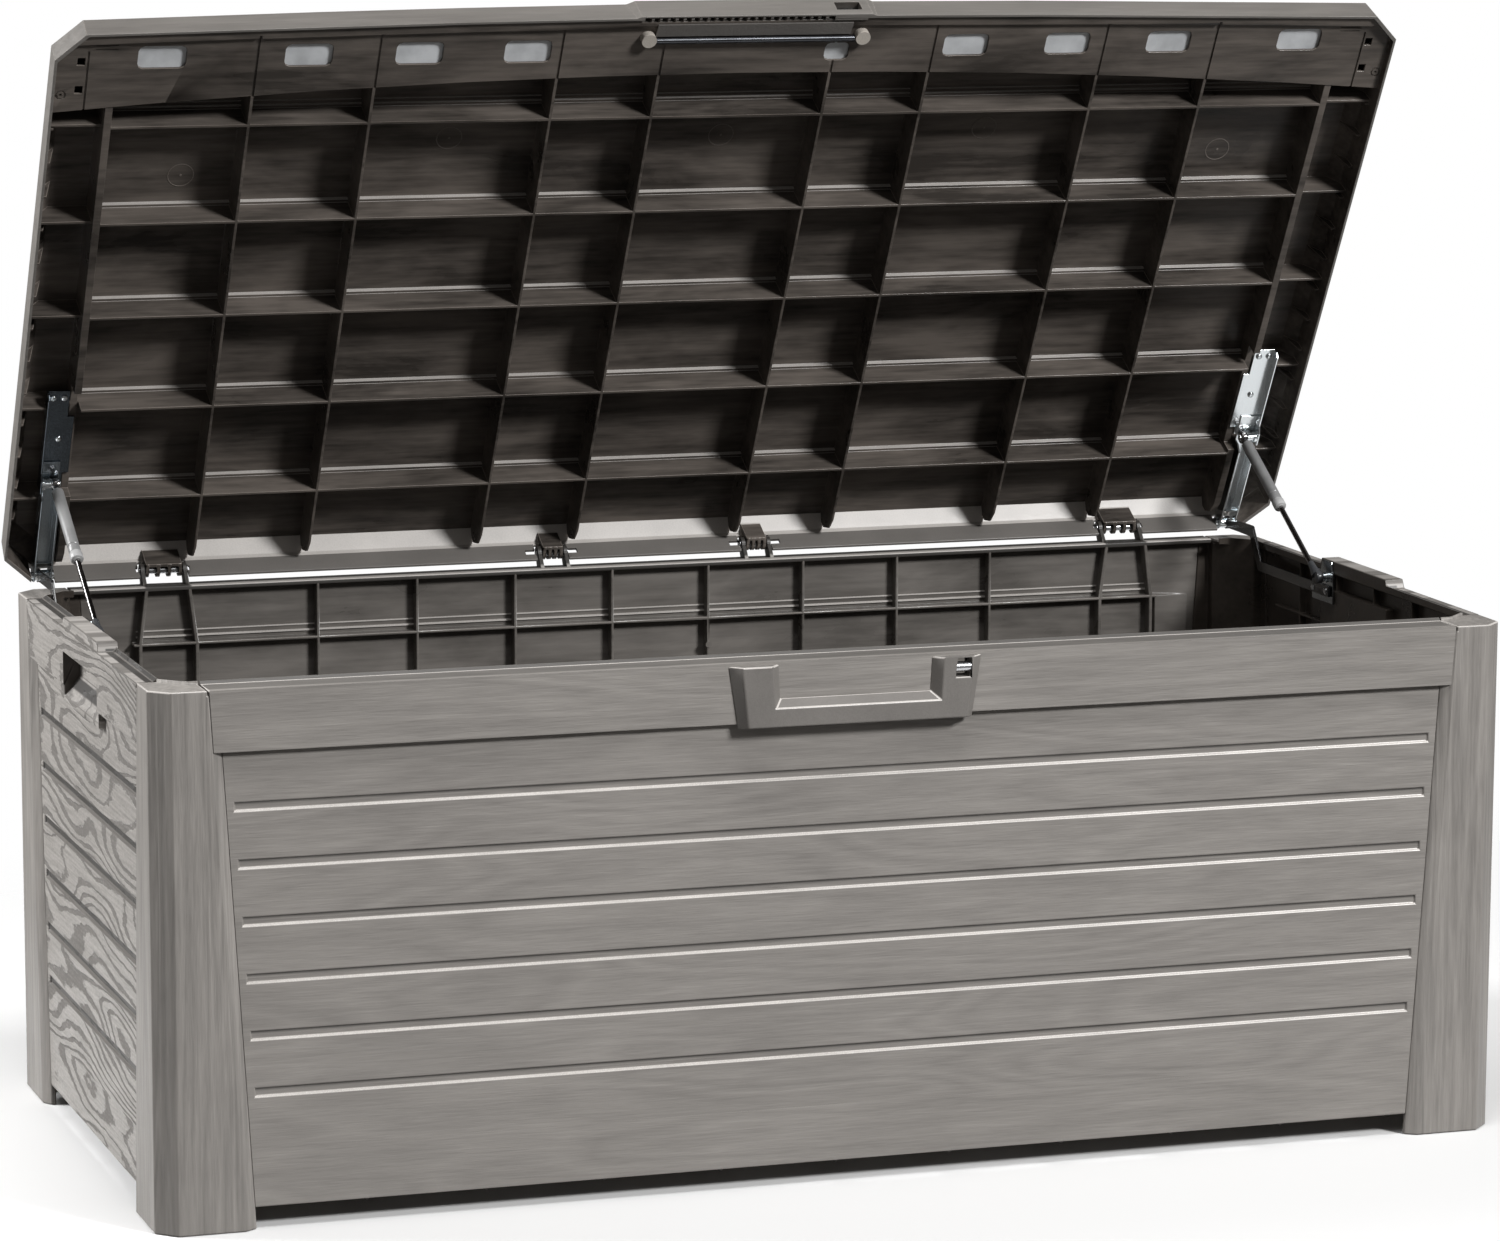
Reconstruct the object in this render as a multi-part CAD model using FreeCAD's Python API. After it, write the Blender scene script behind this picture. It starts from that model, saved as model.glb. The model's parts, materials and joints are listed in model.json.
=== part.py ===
"""Deck storage box: a long resin chest with a hinged lid, two gas-strut lid stays and a padlock point.

Millimetres. X runs along the width, the front faces -Y and Z is up, with the ground at Z = 0.
The shapes are built with the lid closed, then everything on the lid is swung to its open stop.
"""
import FreeCAD, Part
import math
import os

V = FreeCAD.Vector

# ---- Driving dimensions: the chest -------------------------------------------------------------
WIDTH = 1450.0
DEPTH = 686.0
RIM_Z = 546.0                # top of the chest walls
SKIN = 4.0                   # moulded wall thickness
BOARD_SET_BACK = 8.0         # boards lie this far behind the posts and the top band
BAND_Z = 484.0               # lower edge of the top band
PANEL_Z = 22.0               # lower edge of the panels
BOARD_PITCH = 57.8
FIRST_GROOVE_Z = 139.0
GROOVES = 6
GROOVE_HEIGHT = 8.0
GROOVE_DEPTH = 2.4
GROOVE_MARGIN = 9.0
FRONT_RIM = 44.0             # width of the flat rim on the front wall
SIDE_RIM = 22.0
REAR_RIM = 25.0
LIP = 3.0                    # upstand along the inner edge of the rim
RIM_FLANGE = 5.0
WALL_RIB_PITCH = 112.5
WALL_RIB = 3.0
JOINT_GAP = 0.4              # gap between neighbouring mouldings
FLOOR_Z = 26.0
FLOOR_RIB_Z = 8.0
FLOOR_RIB_PITCH = 125.0

# ---- Corner posts ------------------------------------------------------------------------------
POST_CHAMFER = 20.0
POST_FRONT_TOP = 56.0
POST_FRONT_FOOT = 89.0
POST_SIDE_TOP = 66.0
POST_SIDE_FOOT = 105.0
POST_FLANK = 12.0            # run of the slanted flank beside a board
WING_DEPTH = 13.0            # thickness of a post's two hollow wings

# ---- Side hand grips ---------------------------------------------------------------------------
GRIP_HALF = 85.0
GRIP_RISE = 10.0             # the rim stands this much higher over each grip
GRIP_TOP_Z = 520.0
GRIP_LOW_Z = 470.0
GRIP_DEPTH = 18.5

# ---- Lid ---------------------------------------------------------------------------------------
LID_HALF = 740.0
LID_LENGTH = 705.0           # at its corners; the front edge is bowed
LID_BOW = 12.5
LID_RIM_Z = 548.0            # closed
LID_REAR_Y = 348.0           # closed
LID_SKIRT = 30.5
LID_HEIGHT = 46.0
LID_DRAFT = 2.0
LID_BEVEL = 14.0
LID_SKIN = 3.0
LID_FRONT_CORNER = 30.0
LID_REAR_CORNER = 34.0
RIB = 3.0
RIB_TIP = 8.0                # rib tips lie this far above the lid's rim plane
RIB_X = (95.0, 206.0, 401.0, 529.0)
EDGE_RIB_X = 677.0
EDGE_RIB = 8.0
RIB_V = (106.0, 226.0, 346.0, 466.0, 587.0)
BOX_V_END = 608.0            # start of the closed section along the lid's front, at the lid's ends
BOX_V_BOW = 35.0
WINDOW_X = (242.0, 358.0, 475.0, 628.0)
WINDOW_WIDTH = 50.0
WINDOW_V = (660.0, 687.0)
WINDOW_CORNER = 6.0
SMALL_WINDOW = (84.0, 111.0, 657.0, 679.0)
BULGE_HALF = 135.0
BULGE_V = 719.2              # front face of the thicker middle
COMB_X = (-123.0, 86.0)
COMB_V = (711.0, 717.2)
COMB_TEETH = 23
BUMPER_X = (-115.0, 121.0)
BUMPER_V = 689.5
BUMPER_R = 8.0
HANDLE_ROD_V = 686.8
HANDLE_ROD_W = 3.6
HANDLE_ROD_R = 3.8
SEAT_GAP = 0.05              # clearance of a fitted part in its seat

# ---- Lid hinge ---------------------------------------------------------------------------------
HINGE_Y = 345.8
HINGE_Z = 560.2
OPEN_ANGLE = 60.0
KNUCKLE_R = 7.5
PIN_R = 4.0
RUNNING_GAP = 0.06
OUTER_HINGE_X = 561.0
OUTER_HINGE_HALF = 25.5
INNER_HINGE_X = 119.5
INNER_HINGE_HALF = 17.0
CHEEK = 4.0
SIDE_GAP = 1.5

# ---- Steel lid stays ---------------------------------------------------------------------------
STRUT_X = 690.0
ARM_X = (685.0, 705.0)
PLATE_X = (675.0, 705.0)
PLATE_V = (122.0, 243.0)
STEEL = 2.0
STUD_V = 126.0
STUD_W = 12.0
WALL_STUD_Y = 65.0
WALL_STUD_Z = 537.0
STUD_R = 4.0
EYE_R = 7.0
EYE_HALF = 4.0
SUPPORT_X = (696.5, 699.5)
TUBE_R = 6.5
TUBE_START = 12.0
TUBE_END = 130.0
GLAND = 12.0
ROD_R = 3.0
ROD_LENGTH = 143.0
OPEN_PIVOT_GAP = 0.4         # the wall stud stops this far short of the rod eye

HALF_W = WIDTH / 2
HALF_D = DEPTH / 2

# ---- Latch frame, lid details and strut brackets ----
FRAME_PROUD = 12.0
FRAME_TOP = 543.4
FRAME_LOW = 479.0
EYE_X = (104.5, 121.5)
EYE_Z = (522.6, 542.6)
PADLOCK_PIN_R = 5.4
PADLOCK_PIN_Y = -HALF_D - 6.0
PADLOCK_PIN_Z = 532.6
BOW_X = (-620.0, -465.0, -310.0, -155.0, 0.0, 155.0, 310.0, 465.0, 620.0)
LID_GROOVE_V = (118.0, 235.0, 352.0, 469.0, 586.0)
BAR_HALF = 664.0
BAR_V = (650.0, 694.0)
ARM_ROUTE = [(HINGE_Y, HINGE_Z), (272.0, 560.2), (246.0, 523.0), (52.0, 522.0)]
BRACKET_Y = (48.0, 104.0)
BRACKET_Z = (508.0, 544.0)
WALL_INNER_X = HALF_W - SIDE_RIM - 0.3

# ---- Small shape helpers -----------------------------------------------------------------------


def box(x0, x1, y0, y1, z0, z1):
    corner = V(min(x0, x1), min(y0, y1), min(z0, z1))
    return Part.makeBox(abs(x1 - x0), abs(y1 - y0), abs(z1 - z0), corner)


def wire(points):
    return Part.makePolygon([V(*p) for p in points] + [V(*points[0])])


def loft(points_a, points_b):
    return Part.makeLoft([wire(points_a), wire(points_b)], True, True)


def extrude(points, direction):
    return Part.Face(wire(points)).extrude(V(*direction))


def rod(start, axis, radius, length):
    return Part.makeCylinder(radius, length, V(*start), V(*axis))


def fuse(shapes):
    first = shapes[0]
    return first.multiFuse(shapes[1:]).removeSplitter() if len(shapes) > 1 else first


def mirror_x(shape):
    return shape.mirror(V(0, 0, 0), V(1, 0, 0))


def mirror_y(shape):
    return shape.mirror(V(0, 0, 0), V(0, 1, 0))


def plan(points, z):
    return [(x, y, z) for x, y in points]


def lid_y(v):
    """Y of a point v forward of the closed lid's rear rim."""
    return LID_REAR_Y - v


def lid_z(w):
    """Z of a point w above the closed lid's rim plane."""
    return LID_RIM_Z + w


def lid_box(x0, x1, v0, v1, w0, w1):
    return box(x0, x1, lid_y(v0), lid_y(v1), lid_z(w0), lid_z(w1))


def lid_profile(points, x0, x1):
    """A (v, w) outline drawn out along X on the closed lid."""
    return extrude([(x0, lid_y(v), lid_z(w)) for v, w in points], (x1 - x0, 0, 0))


def opened(shape):
    """Swing a shape from the closed lid to the open stop."""
    turned = shape.copy()
    turned.rotate(V(0, HINGE_Y, HINGE_Z), V(1, 0, 0), -OPEN_ANGLE)
    return turned


def opened_point(y, z):
    turn = math.radians(OPEN_ANGLE)
    dy = y - HINGE_Y
    dz = z - HINGE_Z
    return (HINGE_Y + dy * math.cos(turn) + dz * math.sin(turn),
            HINGE_Z - dy * math.sin(turn) + dz * math.cos(turn))


# ---- Chest walls -------------------------------------------------------------------------------


def post_front(z):
    """Width of a post's front face at height z."""
    return POST_FRONT_FOOT + (POST_FRONT_TOP - POST_FRONT_FOOT) * z / RIM_Z


def post_side(z):
    return POST_SIDE_FOOT + (POST_SIDE_TOP - POST_SIDE_FOOT) * z / RIM_Z


def board_field(half_span, face, inner, z0, z1, edge_at):
    """A board skin between two posts, facing -Y, with its ends following the posts."""
    def outline(z):
        end = half_span - edge_at(z) - POST_FLANK - JOINT_GAP
        return [(-end, face), (end, face), (end, inner), (-end, inner)]
    return loft(plan(outline(z0), z0), plan(outline(z1), z1))


def wall_skin(half_span, half_depth, edge_at):
    """The top band and the boards with their grooves, facing -Y."""
    face = -half_depth
    board = face + BOARD_SET_BACK
    inner = board + SKIN

    def band_outline(z):
        end = half_span - edge_at(z) - SIDE_GAP
        return [(-end, face), (end, face), (end - POST_FLANK, board + 1.0), (-end + POST_FLANK, board + 1.0)]

    band = loft(plan(band_outline(BAND_Z), BAND_Z), plan(band_outline(RIM_Z), RIM_Z))
    hollow_end = half_span - POST_FRONT_FOOT - POST_FLANK
    band = band.cut(box(-hollow_end, hollow_end, face + SKIN, inner, BAND_Z + SKIN, RIM_Z))
    boards = board_field(half_span, board, inner, PANEL_Z, RIM_Z, edge_at)
    boards = boards.cut(box(-hollow_end, hollow_end, board - 1, board + 1, BAND_Z + SKIN, RIM_Z + 1))
    skin = band.fuse(boards)
    cutters = []
    for i in range(GROOVES):
        z = FIRST_GROOVE_Z + i * BOARD_PITCH
        end = half_span - edge_at(z) - POST_FLANK - GROOVE_MARGIN
        low = z - GROOVE_HEIGHT / 2
        high = z + GROOVE_HEIGHT / 2
        cutters.append(loft(
            [(-end - 1.5, board - 1, low - 1), (end + 1.5, board - 1, low - 1),
             (end + 1.5, board - 1, high + 1), (-end - 1.5, board - 1, high + 1)],
            [(-end, board + GROOVE_DEPTH, low), (end, board + GROOVE_DEPTH, low),
             (end, board + GROOVE_DEPTH, high), (-end, board + GROOVE_DEPTH, high)]))
    return skin.cut(Part.makeCompound(cutters))


def wall_ribs(half_span, half_depth, reach, x_list):
    """Stiffening ribs behind a wall skin that faces -Y; reach is how far the tips lie from the face."""
    start = -half_depth + BOARD_SET_BACK + SKIN - 0.5
    tip = -half_depth + reach
    ribs = []
    for x in x_list:
        ribs.append(box(x - WALL_RIB / 2, x + WALL_RIB / 2, start, tip, PANEL_Z + 12, RIM_Z - 1))
    span = half_span - POST_SIDE_FOOT - POST_FLANK - 8
    for z in (BAND_Z - 2, BAND_Z - 120, BAND_Z - 240, BAND_Z - 360):
        ribs.append(box(-span, span, start, tip, z - WALL_RIB / 2, z + WALL_RIB / 2))
    return ribs


def rim_strip(half_span, half_depth, width, edge, lip):
    """The flat rim on top of a wall that faces -Y, with an upstand along its inner edge."""
    end = half_span - edge - JOINT_GAP
    face = -half_depth
    parts = [box(-end, end, face, face + width, RIM_Z - RIM_FLANGE, RIM_Z)]
    if lip > 0:
        parts.append(loft(
            [(-end, face + width - 2 * LIP, RIM_Z - 1), (end, face + width - 2 * LIP, RIM_Z - 1),
             (end, face + width, RIM_Z - 1), (-end, face + width, RIM_Z - 1)],
            [(-end, face + width - LIP / 2, RIM_Z + lip), (end, face + width - LIP / 2, RIM_Z + lip),
             (end, face + width, RIM_Z + lip), (-end, face + width, RIM_Z + lip)]))
    return parts


RIB_XS = [side * (i + 0.5) * WALL_RIB_PITCH for i in range(5) for side in (-1, 1)]


def front_panel():
    shapes = [wall_skin(HALF_W, HALF_D, post_front)]
    shapes += wall_ribs(HALF_W, HALF_D, FRONT_RIM - 4, RIB_XS)
    shapes += rim_strip(HALF_W, HALF_D, FRONT_RIM, POST_FRONT_TOP + SIDE_GAP, LIP)
    panel = fuse(shapes)
    shackle = box(EYE_X[0], EYE_X[1], -HALF_D - 1, -HALF_D + 14, EYE_Z[0], EYE_Z[1])
    return panel.cut(shackle)


def cheek(x0):
    """One hinge cheek on the rear wall, CHEEK thick from x0, carrying the pin bore."""
    outline = [(322.0, 540.0), (HALF_D, 540.0), (HINGE_Y + KNUCKLE_R, HINGE_Z),
               (HINGE_Y - KNUCKLE_R, HINGE_Z), (328.0, 548.0)]
    web = extrude([(x0, y, z) for y, z in outline], (CHEEK, 0, 0))
    barrel = rod((x0, HINGE_Y, HINGE_Z), (1, 0, 0), KNUCKLE_R, CHEEK)
    bore = rod((x0 - 1, HINGE_Y, HINGE_Z), (1, 0, 0), PIN_R + RUNNING_GAP, CHEEK + 2)
    return web.fuse(barrel).cut(bore)


def tower(centre, half, spread):
    """The two cheeks of a hinge and the ribs that carry them down the inside of the rear wall."""
    shapes = []
    tip = HALF_D - REAR_RIM
    for side in (-1, 1):
        x0 = centre + side * half - (CHEEK if side > 0 else 0)
        shapes.append(cheek(x0))
        foot = x0 + side * spread
        for (xa, za), (xb, zb) in (((foot, BAND_Z - 2), (x0, RIM_Z - 1)), ((foot, PANEL_Z + 12), (foot, BAND_Z - 2))):
            shapes.append(loft(
                [(xa, tip, za), (xa + CHEEK, tip, za), (xa + CHEEK, HALF_D - 11, za), (xa, HALF_D - 11, za)],
                [(xb, tip, zb), (xb + CHEEK, tip, zb), (xb + CHEEK, HALF_D - 11, zb), (xb, HALF_D - 11, zb)]))
    return shapes


def back_panel():
    skin = wall_skin(HALF_W, HALF_D, post_front)
    ribs = wall_ribs(HALF_W, HALF_D, REAR_RIM, RIB_XS[:8])
    rim = rim_strip(HALF_W, HALF_D, REAR_RIM, POST_FRONT_TOP + SIDE_GAP, 0)
    shapes = [mirror_y(fuse([skin] + ribs + rim))]
    for side in (-1, 1):
        shapes += tower(side * OUTER_HINGE_X, OUTER_HINGE_HALF, 8.0)
        for end in (-1, 1):
            x0 = side * INNER_HINGE_X + end * INNER_HINGE_HALF
            shapes.append(cheek(x0 - CHEEK if end > 0 else x0))
    inner = HALF_D - REAR_RIM
    step_top = BAND_Z + 13
    half = HALF_W - POST_SIDE_FOOT - POST_FLANK - 8
    ledge = [(3.5, step_top), (9.0, step_top), (9.0, step_top - 2.5), (7.0, step_top - 3.5),
             (10.5, BAND_Z + 4), (13.0, BAND_Z - 2), (3.5, BAND_Z - 2)]
    shapes.append(extrude([(-half, HALF_D - d, z) for d, z in ledge], (2 * half, 0, 0)))
    shapes.append(rod((56.25, inner - 1.5, 452.0), (0, 1, 0), 3.5, 4.0))
    shapes.append(box(600, 640, inner + 6, HALF_D - 8, 400, BAND_Z - 2))
    return fuse(shapes)


def side_panel():
    """The right-hand wall, modelled facing -Y and then turned to face +X."""
    half_span = HALF_D
    half_depth = HALF_W
    shapes = [wall_skin(half_span, half_depth, post_side)]
    ribs = [side * (i + 0.5) * 100.0 for i in range(2) for side in (-1, 1)]
    shapes += wall_ribs(half_span, half_depth, SIDE_RIM - 2, ribs)
    shapes += rim_strip(half_span, half_depth, SIDE_RIM, POST_SIDE_TOP + SIDE_GAP, LIP)
    face = -half_depth
    shapes.append(loft(
        [(-GRIP_HALF - 4, face, RIM_Z - 1), (GRIP_HALF + 4, face, RIM_Z - 1),
         (GRIP_HALF + 4, face + SIDE_RIM, RIM_Z - 1), (-GRIP_HALF - 4, face + SIDE_RIM, RIM_Z - 1)],
        [(-GRIP_HALF, face + 1, RIM_Z + GRIP_RISE), (GRIP_HALF, face + 1, RIM_Z + GRIP_RISE),
         (GRIP_HALF, face + SIDE_RIM, RIM_Z + GRIP_RISE), (-GRIP_HALF, face + SIDE_RIM, RIM_Z + GRIP_RISE)]))
    pocket_back = face + SIDE_RIM - 0.4
    shapes.append(box(-GRIP_HALF - 3, GRIP_HALF + 3, face + 1, pocket_back, GRIP_LOW_Z - 3, GRIP_TOP_Z + 3))
    panel = fuse(shapes)
    scoop = [(face - 1, GRIP_LOW_Z), (face + GRIP_DEPTH - 12, GRIP_LOW_Z + 8),
             (face + GRIP_DEPTH, GRIP_LOW_Z + 24), (face + GRIP_DEPTH, GRIP_TOP_Z), (face - 1, GRIP_TOP_Z)]
    panel = panel.cut(extrude([(-GRIP_HALF, y, z) for y, z in scoop], (2 * GRIP_HALF, 0, 0)))
    turned = panel.copy()
    turned.rotate(V(0, 0, 0), V(0, 0, 1), 90)
    return turned


def corner_post():
    """The front-left post: a hollow tapered corner with a flat cap, open at the foot."""
    def to_world(points):
        return [(-HALF_W + u, -HALF_D + s) for u, s in points]

    def swapped(points):
        return [(s, u) for u, s in reversed(points)]

    def wing(width):
        """Plan of the front wing; the side wing is the same outline with its axes swapped."""
        flank = BOARD_SET_BACK
        back = WING_DEPTH
        return [(POST_CHAMFER, 0), (width, 0), (width + POST_FLANK, flank), (width + POST_FLANK, back),
                (POST_CHAMFER, back)]

    def wing_hollow(width):
        near = SKIN
        far = WING_DEPTH - SKIN
        return [(POST_CHAMFER + 2, near), (width, near), (width + far - near, far), (POST_CHAMFER + 2, far)]

    def tapered(outline_at, low, high):
        return loft(plan(to_world(outline_at(low)), low), plan(to_world(outline_at(high)), high))

    top = RIM_Z - RIM_FLANGE
    core = [(POST_CHAMFER, 0), (POST_FRONT_TOP, 0), (POST_FRONT_TOP, 24), (44, FRONT_RIM),
            (SIDE_RIM, POST_SIDE_TOP), (0, POST_SIDE_TOP), (0, POST_CHAMFER)]
    hollow = [(POST_CHAMFER + 2, SKIN), (POST_FRONT_TOP - SKIN, SKIN), (POST_FRONT_TOP - SKIN, 23),
              (41, FRONT_RIM - SKIN), (SIDE_RIM - 2, POST_SIDE_TOP - SKIN), (SKIN, POST_SIDE_TOP - SKIN),
              (SKIN, POST_CHAMFER + 2)]
    shell = [extrude(plan(to_world(core), 0), (0, 0, top)),
             tapered(lambda z: wing(post_front(z)), 0, top),
             tapered(lambda z: swapped(wing(post_side(z))), 0, top)]
    cavities = [extrude(plan(to_world(hollow), -1), (0, 0, top + 1)),
                tapered(lambda z: wing_hollow(post_front(z)), -1, top - 1),
                tapered(lambda z: swapped(wing_hollow(post_side(z))), -1, top - 1)]
    post = fuse(shell)
    for cavity in cavities:
        post = post.cut(cavity)
    cap_outline = [(POST_CHAMFER, 0), (POST_FRONT_TOP, 0), (POST_FRONT_TOP, FRONT_RIM), (44, FRONT_RIM),
                   (SIDE_RIM, POST_SIDE_TOP), (0, POST_SIDE_TOP), (0, POST_CHAMFER)]
    cap = extrude(plan(to_world(cap_outline), RIM_Z - RIM_FLANGE), (0, 0, RIM_FLANGE))
    lip_outline = [(POST_FRONT_TOP, FRONT_RIM - 2), (POST_FRONT_TOP, FRONT_RIM), (44, FRONT_RIM),
                   (SIDE_RIM, POST_SIDE_TOP), (SIDE_RIM - 2, POST_SIDE_TOP - 1), (43, FRONT_RIM - 2)]
    lip = extrude(plan(to_world(lip_outline), RIM_Z - 1), (0, 0, LIP + 1))
    return fuse([post, cap, lip])


def floor_panel():
    """Floor tray with a grid of ribs below, notched round the post columns."""
    edge_x = HALF_W - SIDE_RIM + 2
    edge_y = HALF_D - FRONT_RIM + 2
    shapes = [box(-edge_x, edge_x, -edge_y, edge_y, FLOOR_Z, FLOOR_Z + 5)]
    for i in range(-5, 6):
        x = i * FLOOR_RIB_PITCH
        shapes.append(box(x - 2, x + 2, -edge_y + 10, edge_y - 10, FLOOR_RIB_Z, FLOOR_Z + 1))
    for i in range(4):
        y = (i - 1.5) * FLOOR_RIB_PITCH
        shapes.append(box(-edge_x + 80, edge_x - 80, y - 2, y + 2, FLOOR_RIB_Z, FLOOR_Z + 1))
    plate = fuse(shapes)
    notch_x = HALF_W - POST_FRONT_FOOT - POST_FLANK - 1
    notch_y = HALF_D - POST_SIDE_FOOT - POST_FLANK - 1
    notches = []
    for sx in (-1, 1):
        for sy in (-1, 1):
            notches.append(extrude([(sx * (HALF_W + 1), sy * notch_y, 0), (sx * (HALF_W + 1), sy * (HALF_D + 1), 0),
                                    (sx * notch_x, sy * (HALF_D + 1), 0),
                                    (sx * notch_x, sy * (HALF_D - 14), 0),
                                    (sx * (HALF_W - 54), sy * (HALF_D - 54), 0),
                                    (sx * (HALF_W - 14), sy * notch_y, 0)], (0, 0, 60)))
    return plate.cut(Part.makeCompound(notches))


# ---- Latch frame and padlock point -------------------------------------------------------------


def front_outline(points, y):
    return [(x, y, z) for x, z in points]


def latch_frame():
    back = -HALF_D
    face = back - FRAME_PROUD
    top = FRAME_TOP
    outer = loft(front_outline([(-136, top), (-126, FRAME_LOW), (126, FRAME_LOW), (136, top)], back),
                 front_outline([(-124, top), (-117, FRAME_LOW + 2), (117, FRAME_LOW + 2), (124, top)], face))
    well = loft(front_outline([(-82, top + 1), (-80, 509), (80, 509), (82, top + 1)], back + 0.01),
                front_outline([(-92, top + 1), (-89, 500), (89, 500), (92, top + 1)], face - 0.01))
    frame = outer.cut(well)
    frame = frame.cut(box(EYE_X[0], EYE_X[1], face - 1, back + 1, EYE_Z[0], EYE_Z[1]))
    seat = rod((EYE_X[0] - 4, PADLOCK_PIN_Y, PADLOCK_PIN_Z), (1, 0, 0), PADLOCK_PIN_R, EYE_X[1] - EYE_X[0] + 4)
    return frame.cut(seat)


def padlock_pin():
    length = EYE_X[1] - EYE_X[0] + 3.8
    return rod((EYE_X[0] - 3.9, PADLOCK_PIN_Y, PADLOCK_PIN_Z), (1, 0, 0), PADLOCK_PIN_R - 0.05, length - 0.2)


# ---- Lid ---------------------------------------------------------------------------------------


def lid_edge(x):
    """V of the lid's bowed front edge."""
    return LID_LENGTH + LID_BOW * (1 - (x / LID_HALF) ** 2)


def box_edge(x):
    """V at which the closed section along the front starts."""
    return BOX_V_END + BOX_V_BOW * (1 - (x / LID_HALF) ** 2)


def lid_outline(inset, w):
    half = LID_HALF - inset
    f = LID_FRONT_CORNER
    r = LID_REAR_CORNER
    slope = (lid_edge(BOW_X[-1]) - lid_edge(BOW_X[-2])) / (BOW_X[-1] - BOW_X[-2])
    end = lid_edge(BOW_X[-1]) + slope * (half - f - BOW_X[-1]) - inset
    front = [(x, lid_edge(x) - inset) for x in reversed(BOW_X)]
    points = [(-half + r, inset), (half - r, inset), (half, inset + r), (half, end - f), (half - f, end)]
    points += front + [(-half + f, end), (-half, end - f), (-half, inset + r)]
    return [(x, lid_y(v), lid_z(w)) for x, v in points]


def lid_solid(wall, skin, base):
    low = loft(lid_outline(wall, base), lid_outline(LID_DRAFT + wall, LID_SKIRT - skin * 0.5))
    high = loft(lid_outline(LID_DRAFT + wall, LID_SKIRT - skin * 0.5),
                lid_outline(LID_DRAFT + LID_BEVEL + wall * 0.7, LID_HEIGHT - skin))
    return low.fuse(high)


def lid_rib_profile():
    """Outline of a front-to-back rib, with its rear end swept up to clear the hinge line."""
    return [(10, LID_HEIGHT), (10, 26), (18, 14), (34, RIB_TIP), (LID_LENGTH - 12, RIB_TIP),
            (LID_LENGTH - 12, LID_HEIGHT)]


def lid_ribs():
    shapes = []
    for side in (-1, 1):
        for x in RIB_X:
            shapes.append(lid_profile(lid_rib_profile(), side * x - RIB / 2, side * x + RIB / 2))
        shapes.append(lid_profile(lid_rib_profile(), side * EDGE_RIB_X - EDGE_RIB / 2,
                                  side * EDGE_RIB_X + EDGE_RIB / 2))
    inner_half = EDGE_RIB_X
    side_tip = RIB_TIP + 6
    for v in RIB_V:
        shapes.append(lid_box(-inner_half, inner_half, v - RIB / 2, v + RIB / 2, RIB_TIP, LID_HEIGHT))
        shapes.append(lid_box(-inner_half, inner_half, v, v + RIB / 2 + 3, LID_HEIGHT - 8, LID_HEIGHT))
        for side in (-1, 1):
            shapes.append(lid_box(side * inner_half, side * (LID_HALF - 2), v - RIB / 2, v + RIB / 2,
                                  side_tip, LID_HEIGHT))
    shapes.append(lid_box(-inner_half, inner_half, RIB_V[-1], RIB_V[-1] + RIB / 2 + 7, LID_HEIGHT - 5, LID_HEIGHT))
    gusset = [(0, side_tip), (0, LID_HEIGHT), (16, LID_HEIGHT), (6, side_tip)]
    for i in range(13):
        v = 80 + i * 42.0
        for side in (-1, 1):
            outline = [(side * (LID_HALF - 3 - d), lid_y(v), lid_z(w)) for d, w in gusset]
            shapes.append(extrude(outline, (0, 2.5, 0)))
    return shapes


def lid_strip(edge_low, edge_high, w0, w1):
    """A band between two curves of V over X, across the whole lid."""
    xs = (-LID_HALF,) + BOW_X + (LID_HALF,)
    points = [(x, edge_low(x)) for x in xs] + [(x, edge_high(x)) for x in reversed(xs)]
    return extrude([(x, lid_y(v), lid_z(w0)) for x, v in points], (0, 0, w1 - w0))


def window(x0, x1, v0, v1, corner):
    """A window cutter with its corners cut off in two steps, which reads as round."""
    small = corner * 0.3
    quarter = [(0, corner), (small, small), (corner, 0)]
    points = [(x0 + a, v0 + b) for a, b in quarter] + [(x1 - b, v0 + a) for a, b in quarter]
    points += [(x1 - a, v1 - b) for a, b in quarter] + [(x0 + b, v1 - a) for a, b in quarter]
    return extrude([(x, lid_y(v), lid_z(0)) for x, v in points], (0, 0, RIB_TIP + 4))


def front_box():
    """Closed section along the lid's front, with windows to the steel bar inside it."""
    tip = RIB_TIP - 1
    shapes = [lid_strip(box_edge, lambda x: lid_edge(x) - 2, tip, tip + 3),
              lid_strip(box_edge, lambda x: box_edge(x) + 3, tip, LID_HEIGHT),
              lid_strip(lambda x: lid_edge(x) - 14, lambda x: lid_edge(x) - 2, tip - 4, tip + 0.5)]
    v_low, v_high = WINDOW_V
    cutters = [window(side * x - WINDOW_WIDTH / 2, side * x + WINDOW_WIDTH / 2, v_low, v_high, WINDOW_CORNER)
               for x in WINDOW_X for side in (-1, 1)]
    cutters.append(window(*SMALL_WINDOW, WINDOW_CORNER))
    for side in (-1, 1):
        for x in RIB_X:
            high = 700.0 if x > 100 else 680.0
            cutters.append(lid_box(side * x - 1.4, side * x + 1.4, box_edge(x) - 1, high, 0, RIB_TIP + 0.6))
    return shapes, cutters


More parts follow.
